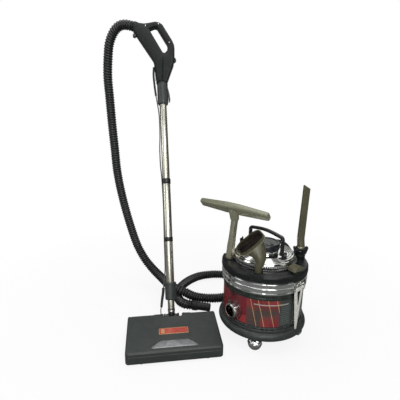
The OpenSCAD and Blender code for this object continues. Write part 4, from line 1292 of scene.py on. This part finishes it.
HANDLE_OUTLINE = [
    (-39, 992.5, 2), (-38.5, 1010, 20), (-45, 1082, 30), (-50, 1096, 20), (-134, 1230, 4), (-137, 1236, 4),
    (-123, 1274, 3), (-109, 1268, 10), (-87, 1266, 14), (-64, 1271, 20), (-38, 1278, 20), (-20, 1275, 18),
    (-5, 1266, 14), (38, 1190, 30), (45, 1172, 20), (47, 1155, 20), (46, 1118, 20), (41, 1077, 20),
    (10, 992.5, 3),
]
FINGER_HOLE = [
    (-65, 1240, 5), (-40, 1253, 6), (-30, 1252, 5), (14, 1174, 10), (16, 1160, 10), (12, 1142, 8),
    (2, 1131, 6), (-6, 1132, 5),
]
HALF_GRIP = 17.0


def offset_outline(outline, inset):
    """Moves each point of a dense outline inwards along its normal."""
    count = len(outline)
    area = sum(outline[i][0] * outline[(i + 1) % count][1] - outline[(i + 1) % count][0] * outline[i][1]
               for i in range(count))
    sign = 1 if area > 0 else -1
    out = []
    for i in range(count):
        a, b, c = Vector(outline[i - 1]), Vector(outline[i]), Vector(outline[(i + 1) % count])
        e1, e2 = (b - a), (c - b)
        n1 = Vector((-e1.y, e1.x)).normalized() if e1.length > 1e-6 else Vector()
        n2 = Vector((-e2.y, e2.x)).normalized() if e2.length > 1e-6 else n1
        n = (n1 + n2)
        n = n.normalized() if n.length > 1e-6 else n1
        cosine = max(0.5, n.dot(n2))
        out.append(tuple(b + n * sign * inset / cosine))
    return out


def pistol_grip():
    """Two half shells that meet on the mid plane, with rounded rims inside and out."""
    outer = fillet(HANDLE_OUTLINE, 6)
    hole = fillet(FINGER_HOLE, 6)
    for side, name, node in ((-1, "grip_front", "handle_shell_front"), (1, "grip_rear", "handle_shell_rear")):
        shape = rounded_plate(outer, hole, HALF_GRIP, 9.0, side)
        piece(name, moved(shape, WAND @ turn(90, "X")), GRIP, "hose_unit", [node], sharp=50)


def rounded_plate(outer, hole, thick, rim, side):
    """A plate with a hole. Both rims roll over in a quarter round and the face is filled between them."""
    bm = bmesh.new()
    rows = []
    steps = 6
    for outline, sign in ((outer, 1), (hole, -1)):
        loops = []
        for k in range(steps + 1):
            a = pi / 2 * k / steps
            inset = rim * (1 - cos(a)) * (0.75 if sign < 0 else 1.0) * 0.72
            height = (thick - rim) + rim * sin(a)
            ring = offset_outline(outline, inset * sign)
            loops.append([bm.verts.new((x, y, -side * height)) for x, y in ring])
        loops.insert(0, [bm.verts.new((x, y, 0)) for x, y in outline])
        skin(bm, loops)
        rows.append(loops)
    for level in (0, -1):
        edges = []
        for loops in rows:
            ring = loops[level]
            for pair in zip(ring, ring[1:] + ring[:1]):
                edges.append(bm.edges.get(pair) or bm.edges.new(pair))
        bmesh.ops.triangle_fill(bm, use_beauty=True, use_dissolve=False, edges=edges)
    return from_bmesh(bm)


def grip_details():
    middle = [(-7, -17.2, 1106), (-8, -18.0, 1080), (-10, -18.2, 1040), (-12, -18.2, 1000)]
    ridge = sweep(smooth_outline(middle, 6, False), round_rect(6, 2.6, 1.2, 3))
    # A thin raised seam along the parting line, coloured lighter than the grip as a painted highlight.
    right = [(33, -16.8, 1112), (29, -17.2, 1077), (15, -17.2, 1035), (2, -17.0, 998)]
    seam = sweep(smooth_outline(right, 6, False), circle(0.7, 10))
    slope = [Vector((-131 + 10 * t, -12.6, 1230 - 16.25 * t)) for t in range(9)]
    foot = [Vector((x, -12.6, z)) for x, z in ((-46.5, 1082), (-41, 1012), (-41, 996))]
    edge = sweep(slope + foot, circle(1.3, 10))
    piece("grip_ridges", moved(joined(ridge, edge), WAND), GRIP, "hose_unit", sharp=60)
    piece("grip_seam_highlight", moved(seam, WAND), COLLAR, "hose_unit", sharp=60)
    screws = [domed_screw(3.0, WAND @ shift(x, -HALF_GRIP + 0.4, z) @ turn(90, "X"))
              for x, z in ((-81, 1253), (-23, 1264), (23, 1178))]
    piece("grip_screws", joined(*screws), STEEL, "hose_unit", ["handle_screws"])
    outlet_lean = degrees(math.atan2(-118, 151))
    outlet = WAND @ shift(-130, 0, 1255) @ turn(outlet_lean, "Y")
    ferrule = turned([(13.2, -10), (18.2, -12, 2), (19.6, -2, 2), (20.6, 6, 2), (20.4, 12, 1.5),
                      (13.2, 12)], 4, 48)
    piece("grip_ferrule", moved(ferrule, outlet), GRIP, "hose_unit")


def knob():
    local = WAND @ shift(-130, 0, 1212)
    rings = []
    for z, w in ((-8, 6.6), (-7.4, 7.6), (-6, 8), (6, 8), (7.4, 7.6), (8, 6.6)):
        valleys = circle(w - 0.5, 36)
        crests = circle(w, 36)
        rings.append([(*(crests if k % 2 else valleys)[k], z) for k in range(36)])
    piece("knob", moved(grid(rings), local @ turn(90, "X")), COLLAR, "suction_knob", ["suction_knob"],
          sharp=40)


def rocker_switch():
    local = WAND @ shift(39, 0, 1103) @ turn(90, "X")
    rings = [[(x, y, z) for x, y in circle(w, 48)]
             for z, w in ((-5.9, 12.6), (-4.6, 13.6), (-3, 14), (3, 14), (4.6, 13.6), (5.9, 12.6))]
    ribs = [moved(prism(round_rect(1.4, 9, 0.5, 2), 13.2, 14.2), turn(a, "Z") @ turn(90, "Y"))
            for a in (-30, -15, 0, 15, 30)]
    piece("grip_rocker", moved(joined(grid(rings), *ribs), local), BLACK, "handle_switch", ["handle_switch"])


def release():
    outline = fillet([(9.4, 983, 1), (19, 940, 8), (21.6, 914, 3), (15, 899.5, 3)], 4)
    shape = moved(prism(outline, -5.8, 5.8, 2), WAND @ turn(90, "X"))
    piece("release_trigger", shape, COLLAR, "wand_release", ["wand_release"], bevel=1.2,
          bevel_steps=3)


# ---------- wand ----------

def sleeve(inner, outer, base, top, edge=0.5, steps=64, edge_top=None):
    """A plain tube or ring on the wand's axis, with its outer edges rounded."""
    corners = [(inner, base), (outer, base, edge), (outer, top, edge_top or edge), (inner, top)]
    return turned(corners, 2, steps)


def wand_tubes():
    neck = turned([(12.6, -2.5), (14, -2.5, 0.5), (14, 69.5), (12.6, 69.5)], 2, 64)
    for name, shape, node in (("tube_upper", sleeve(14.7, 15.9, 515.5, 984.5), "upper_wand"),
                              ("tube_lower", sleeve(16.0, 17, 70.5, 561.5, 0.4), "lower_wand"),
                              ("tube_neck", neck, "neck_tube")):
        piece(name, moved(shape, TUBE), TUBE_METAL, "hose_unit", [node])
    piece("neck_bright_ring", moved(sleeve(13.9, 15.0, 3, 8, 0.4, 48), TUBE), CHROME, "hose_unit")
    piece("neck_dark_ring", moved(sleeve(13.9, 15.3, 10, 13.5, 0.5, 48), TUBE), BLACK, "hose_unit")


def collars():
    bands = joined(sleeve(17.05, 18.3, 292.3, 310.7, 0.5, 56),
                   sleeve(17.05, 18.8, 539.3, 561.7, 0.6, 56, edge_top=0.8))
    piece("wand_bands", moved(bands, TUBE), BLACK, "hose_unit")
    socket = turned([(16.0, 893.5), (20.2, 893.5, 1.5), (22.6, 899, 4), (23.6, 912, 8), (23.8, 980, 4),
                     (23.0, 991.5, 1.5), (16.0, 991.5)], 5, 64)
    nozzle_collar = turned([(17.05, 121.5), (17.05, 70.5), (14.1, 70.4), (14.1, 51.4), (21.5, 51.4, 1.5),
                            (23, 56, 2), (23.2, 98, 3), (24, 116, 2), (24, 121.6, 1)], 4, 64)
    piece("wand_sockets", moved(joined(socket, nozzle_collar), TUBE), COLLAR, "hose_unit", ["wand_collars"])
    ring = sleeve(22.6, 24.3, 0, 2.2, 0.6, 56)
    piece("socket_ring", moved(ring, TUBE @ shift(z=986)), BLACK, "hose_unit")


def knuckle():
    hub = moved(turned([(4.15, -22.8), (12.8, -22.8, 2), (12.8, 22.8, 2), (4.15, 22.8)], 4, 48),
                HINGE @ turn(90, "Y"))
    throat = moved(spindle([(0.1, 5), (14.9, 5), (14.9, 14.5, 2), (13.6, 16.8, 1), (0.1, 16.9)], 3, 48),
                   HINGE @ turn(SKEW, "Y"))
    piece("knuckle", joined(hub, throat), BLACK, "hose_unit", ["neck_knuckle"])
    piece("knuckle_screw", domed_screw(3.4, HINGE @ shift(0, -12.6, 0) @ turn(90, "X")), STEEL, "hose_unit")


CORD_ROUTE = [
    (-48, 0, 1066), (-50, 0, 1030), (-47, 0, 985), (-41.5, 0, 935), (-33.5, 0, 880), (-29.5, 1, 840),
    (-28.5, 2, 760), (-31, 1, 690), (-29.5, 2, 620), (-24.8, 12, 560), (-21, 12, 440), (-21.3, 12.2, 300),
    (-21, 11, 180), (-27.5, 7, 120), (-32, 0, 79),
]


def wand_cord():
    path = smooth_outline(CORD_ROUTE, 6, closed=False)
    lead = sweep([p for p in path if p.z > 930], circle(4.6, 14))
    wire = sweep([p for p in path if p.z < 940], circle(2.6, 12))
    piece("cord_lead", moved(lead, WAND), CORD, "hose_unit", ["wand_cord"], sharp=60)
    piece("cord_wire", moved(wire, WAND), WIRE, "hose_unit", sharp=60)
    plug_path = [(-31, 0, 100), (-32, 0, 84), (-36, 0, 60), (-39, 0, 40), (-41, 0, 22)]
    plug = sweep(smooth_outline(plug_path, 5, False), circle(6.0, 20),
                 lambda i, k: (1.0, 1.0, 0.98)[i % 3] * (1.0 - 0.16 * (i / 20)))
    piece("cord_connector", moved(plug, WAND), CORD, "hose_unit", sharp=60)
    tail_path = [WAND @ Vector((-41, 0, 24)), WAND @ Vector((-43, -2, 16)), WAND @ Vector((-44, -6, 10)),
                 NOZZLE @ Vector((-44, -22, 77)), NOZZLE @ Vector((-44, -30, 71))]
    tail = mesh_object("cord_tail", sweep(smooth_outline(tail_path, 6, False), circle(2.0, 12)), WIRE)
    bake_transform(tail)


# ---------- power nozzle ----------

NOZZLE_HALF = 177.0
NOZZLE_FRONT = -218.0
NOZZLE_BACK = -14.0
FRONT_TOP = 50.0
REAR_TOP = 73.0


def cover_height(x, y):
    """Height of the cover's top: it rises to the rear, and its raised centre fades forwards."""
    slope_from, slope_to = NOZZLE_FRONT + 6, -24
    share = (y - slope_from) / (slope_to - slope_from)
    z = FRONT_TOP + (REAR_TOP - FRONT_TOP) * min(1.0, share)
    if y > slope_to:
        z -= 5 * ((y - slope_to) / 10) ** 2
    centre = 1 / (1 + math.exp((abs(x - 2) - 73) / 1.1))
    rear = clamp((y + 84) / 50)
    return z + 2.0 * centre * rear - 0.4 * (x / NOZZLE_HALF) ** 2


def cover():
    """Moulded cover: an upright wall with a fine groove, a rolled edge, and a top at cover_height."""
    corner = 14.0
    roll = 7.0
    plan = fillet([(-NOZZLE_HALF, NOZZLE_FRONT, corner), (NOZZLE_HALF, NOZZLE_FRONT, corner),
                   (NOZZLE_HALF, NOZZLE_BACK, corner), (41, NOZZLE_BACK, 8.5), (41, -37, 7), (-33, -37, 7),
                   (-33, NOZZLE_BACK, 8.5), (-NOZZLE_HALF, NOZZLE_BACK, corner)], 8)
    plan = densify(plan, 6.0)
    hem = 6.0
    wall = [(0.0, hem), (0.0, 12.0), (0.0, 31.0), (0.0, 33.2), (0.9, 34.2), (0.9, 35.4), (0.0, 36.4)]
    levels = [(inset, lambda top, z=z: hem + (z - hem) * (top - roll - hem) / (FRONT_TOP - roll - hem))
              for inset, z in wall]
    levels += [(roll * (1 - cos(pi * k / 12)), lambda top, k=k: top - roll + roll * sin(pi * k / 12))
               for k in range(7)]
    bm = bmesh.new()
    loops = []
    for inset, height in levels:
        ring = offset_outline(plan, inset)
        tops = [cover_height(x, max(y, NOZZLE_FRONT + 6)) for (x, _), (_, y) in zip(ring, plan)]
        loops.append([bm.verts.new((x, y, height(top))) for (x, y), top in zip(ring, tops)])
    skin(bm, loops)
    rim = loops[-1]
    inside = interior_points([(v.co.x, v.co.y) for v in rim], 7.0)
    for x, y in inside:
        bm.verts.new((x, y, cover_height(x, y)))
    bm.verts.ensure_lookup_table()
    tri_points = [Vector((v.co.x, v.co.y)) for v in rim] + [Vector(p) for p in inside]
    filling = rim + bm.verts[-len(inside):]
    boundary = [(i, (i + 1) % len(rim)) for i in range(len(rim))]
    filled = delaunay_2d_cdt(tri_points, boundary, [tuple(range(len(rim)))], 1, 1e-5)
    triangles, origins = filled[2], filled[3]
    lookup = [filling[source[0]] for source in origins]
    for triangle in triangles:
        corners = [lookup[i] for i in triangle]
        if len(set(corners)) == 3 and not bm.faces.get(corners):
            bm.faces.new(corners)
    piece("cover_shell", moved(from_bmesh(bm), NOZZLE), COVER, "nozzle", ["nozzle_cover"],
          solid=2.6, sharp=40)


def densify(outline, step):
    """The same outline with its sides cut into lengths of about step."""
    out = []
    count = len(outline)
    for i in range(count):
        a, b = Vector(outline[i]), Vector(outline[(i + 1) % count])
        cuts = max(1, int((b - a).length / step))
        out += [tuple(a.lerp(b, k / cuts)) for k in range(cuts)]
    return out


def inside_outline(x, y, outline):
    inside = False
    count = len(outline)
    for i in range(count):
        (x1, y1), (x2, y2) = outline[i], outline[(i + 1) % count]
        if (y1 > y) != (y2 > y) and x < (x2 - x1) * (y - y1) / (y2 - y1) + x1:
            inside = not inside
    return inside


def interior_points(outline, step):
    """A staggered grid of points inside an outline, clear of its edge."""
    margin = offset_outline(outline, step * 0.45)
    xs, ys = [p[0] for p in outline], [p[1] for p in outline]
    out = []
    y = min(ys) + step / 2
    row = 0
    while y < max(ys):
        x = min(xs) + step / 2 + (row % 2) * step / 2
        while x < max(xs):
            if inside_outline(x, y, margin):
                out.append((x, y))
            x += step
        y += step * 0.87
        row += 1
    return out


def over_cover(outline, lift, thick):
    """A plate that follows the cover's top."""
    dense = densify(outline, 5.0)
    return grid([[(x, y, cover_height(x, y) + up) for x, y in dense] for up in (lift - thick, lift)])


def headlight():
    outline = fillet([(-56, -164, 5), (56, -164, 5), (104, -202, 5), (-104, -202, 5)], 4)
    bezel = []
    for inset, lift in ((-1.2, -1.5), (-1.2, 0.5), (0.4, 0.5), (0.4, -1.6)):
        edge = offset_outline(densify(outline, 5), inset)
        bezel.append([(x, y, cover_height(x, y) + lift) for x, y in edge])
    piece("lamp_bezel", moved(grid(bezel, loop=True), NOZZLE), COVER, "nozzle",
          sharp=40)
    count = 14
    middle_y = -186.0
    rings = []
    for k in range(count + 1):
        s = 1 - k / count * 0.98
        lift = 1.35 * (1 - s ** 3) - 0.4
        plan = [(x * s, middle_y + (y - middle_y) * s) for x, y in densify(outline, 4)]
        rings.append([(x, y, cover_height(x, y) + lift) for x, y in plan])
    piece("lamp_lens", moved(grid(rings), NOZZLE), LENS, "nozzle", ["headlight_lens"], sharp=60)


def badge():
    outline = fillet([(-55, -135, 3), (57, -135, 3), (57, -104, 3), (-55, -104, 3)], 4)
    border = over_cover(outline, 0.9, 1.2)
    face = over_cover(offset_outline(outline, 2.0), 1.15, 1.0)
    piece("badge_border", moved(border, NOZZLE), TAN, "nozzle", ["name_badge"], bevel=0.3)
    piece("badge_face", moved(face, NOZZLE), BADGE, "nozzle", bevel=0.2)
    outline = fillet([(-47, -129.5, 2), (-34, -129.5, 2), (-34, -110, 2), (-47, -110, 2)], 3)
    emblem = over_cover(outline, 1.4, 0.6)
    piece("badge_emblem", moved(emblem, NOZZLE), TAN, "nozzle", bevel=0.15)


# ---------- stage ----------

def stage():
    """A pale floor that fades to white away from the object and is dark in reflections."""
    n = Finish("stage_floor")
    path = n.add("ShaderNodeLightPath")
    pale = n.cloud(300, (0.93, 0.93, 0.92), (0.96, 0.96, 0.955), 2, half=0.2)
    tone = n.mix(n.times(path.outputs["Is Glossy Ray"], 0.86), pale, (0.03, 0.035, 0.03))
    n.set(Base_Color=tone, Roughness=0.9)
    away = n.add("ShaderNodeVectorMath", operation="DISTANCE")
    n.put(away.inputs[0], n.place)
    n.put(away.inputs[1], (-0.2, 0.1, 0))
    fade = n.spread(away.outputs["Value"], 0.5, 1.4, 0.86, 1.0)
    share = n.times(fade, path.outputs["Is Camera Ray"])
    mixed = n.join(share, n.bsdf.outputs[0], n.add("ShaderNodeEmission").outputs[0])
    n.put(n.tree.nodes["Material Output"].inputs["Surface"], mixed)
    size = 9.0
    mesh = bpy.data.meshes.new("floor")
    corners = [(-size, -size, 0), (size, -size, 0), (size, size, 0), (-size, size, 0)]
    mesh.from_pydata(corners, [], [(0, 1, 2, 3)])
    mesh.materials.append(n.mat)
    floor = bpy.data.objects.new("floor", mesh)
    bpy.context.scene.collection.objects.link(floor)


def world():
    """White to the eye, a soft grey room for diffuse light, and soft boxes for reflections."""
    sky = bpy.data.worlds.new("studio")
    bpy.context.scene.world = sky
    sky.use_nodes = True
    sky.node_tree.nodes.clear()
    n = Nodes(sky.node_tree)
    azimuth, height = n.round_the_axis(n.coordinates.outputs["Generated"])
    value = n.spread(height, 0.70, 0.86, 0.035, 0.9)
    below = n.spread(height, 0.62, 0.74, 1.0, 0.0)
    for centre, half, soft, bright in ((-8, 26, 10, 1.0), (62, 6, 5, 0.55), (-78, 8, 6, 0.5),
                                       (160, 12, 5, 0.95), (-140, 14, 10, 0.35)):
        off = n.math("ABSOLUTE", n.math("SUBTRACT", azimuth, centre))
        box = n.times(n.spread(off, half, half + soft, bright, 0.0), below)
        value = n.math("MAXIMUM", value, box)

    def background(colour, strength):
        return n.fill(n.add("ShaderNodeBackground"), Color=colour4(colour), Strength=strength)[0]

    ray = n.add("ShaderNodeLightPath").outputs
    diffuse, glossy = background((0.97, 0.98, 1.0), 0.45), background((1.0, 1.0, 0.97), value)
    room = n.join(ray["Is Glossy Ray"], diffuse, glossy)
    seen = n.join(ray["Is Camera Ray"], room, background((1, 1, 1), 1.0))
    n.put(n.add("ShaderNodeOutputWorld").inputs["Surface"], seen)


def area_light(name, place, target, size, power):
    data = bpy.data.lights.new(name, "AREA")
    data.shape = "RECTANGLE"
    data.size, data.size_y = size
    data.energy = power
    obj = bpy.data.objects.new(name, data)
    obj.location = place
    obj.rotation_euler = (Vector(target) - Vector(place)).to_track_quat("-Z", "Y").to_euler()
    bpy.context.scene.collection.objects.link(obj)


def lights():
    area_light("key", (0.6, -2.6, 2.4), (-0.2, 0, 0.4), (1.1, 1.1), 25)
    area_light("front_strip", (-0.35, -2.4, 1.1), (-0.3, 0.1, 0.6), (0.35, 2.0), 8)
    area_light("overhead", (-0.2, 0.2, 3.0), (-0.2, 0.1, 0), (2.4, 2.0), 25)
    area_light("left_fill", (-2.8, -0.6, 1.6), (-0.3, 0, 0.5), (1.0, 1.6), 8)


def camera():
    data = bpy.data.cameras.new("camera")
    data.sensor_width = 36
    data.lens = 30.06
    obj = bpy.data.objects.new("camera", data)
    down, roll = 13.93, 0.742
    obj.matrix_world = shift(-0.2602, -1.2379, 0.855) @ turn(90 - down, "X") @ turn(roll, "Z")
    data.clip_start = 0.05
    bpy.context.scene.collection.objects.link(obj)
    bpy.context.scene.camera = obj
    bpy.context.scene.view_settings.view_transform = "Standard"


bumper()
drum_hem()
deck_band()
skirt()
dome()
cap()
switch()
caddy()
clip()
hooks()
handle_arch()
handle_feet()
lever("right", LATCH_AZ, "latch_right", "latch_lever_right")
lever("left", LATCH_AZ + 180, "latch_left", "latch_lever_left")
latch_mounts()
latch_rails()
inlet()
casters()
floor_head()
floor_neck()
floor_bristles()
dusting()
dusting_hair()
crevice()
upholstery()
power_cord()
hose()
hose_cuff()
pistol_grip()
grip_details()
knob()
rocker_switch()
release()
wand_tubes()
collars()
knuckle()
wand_cord()
cover()
headlight()
badge()
stage()
world()
lights()
camera()
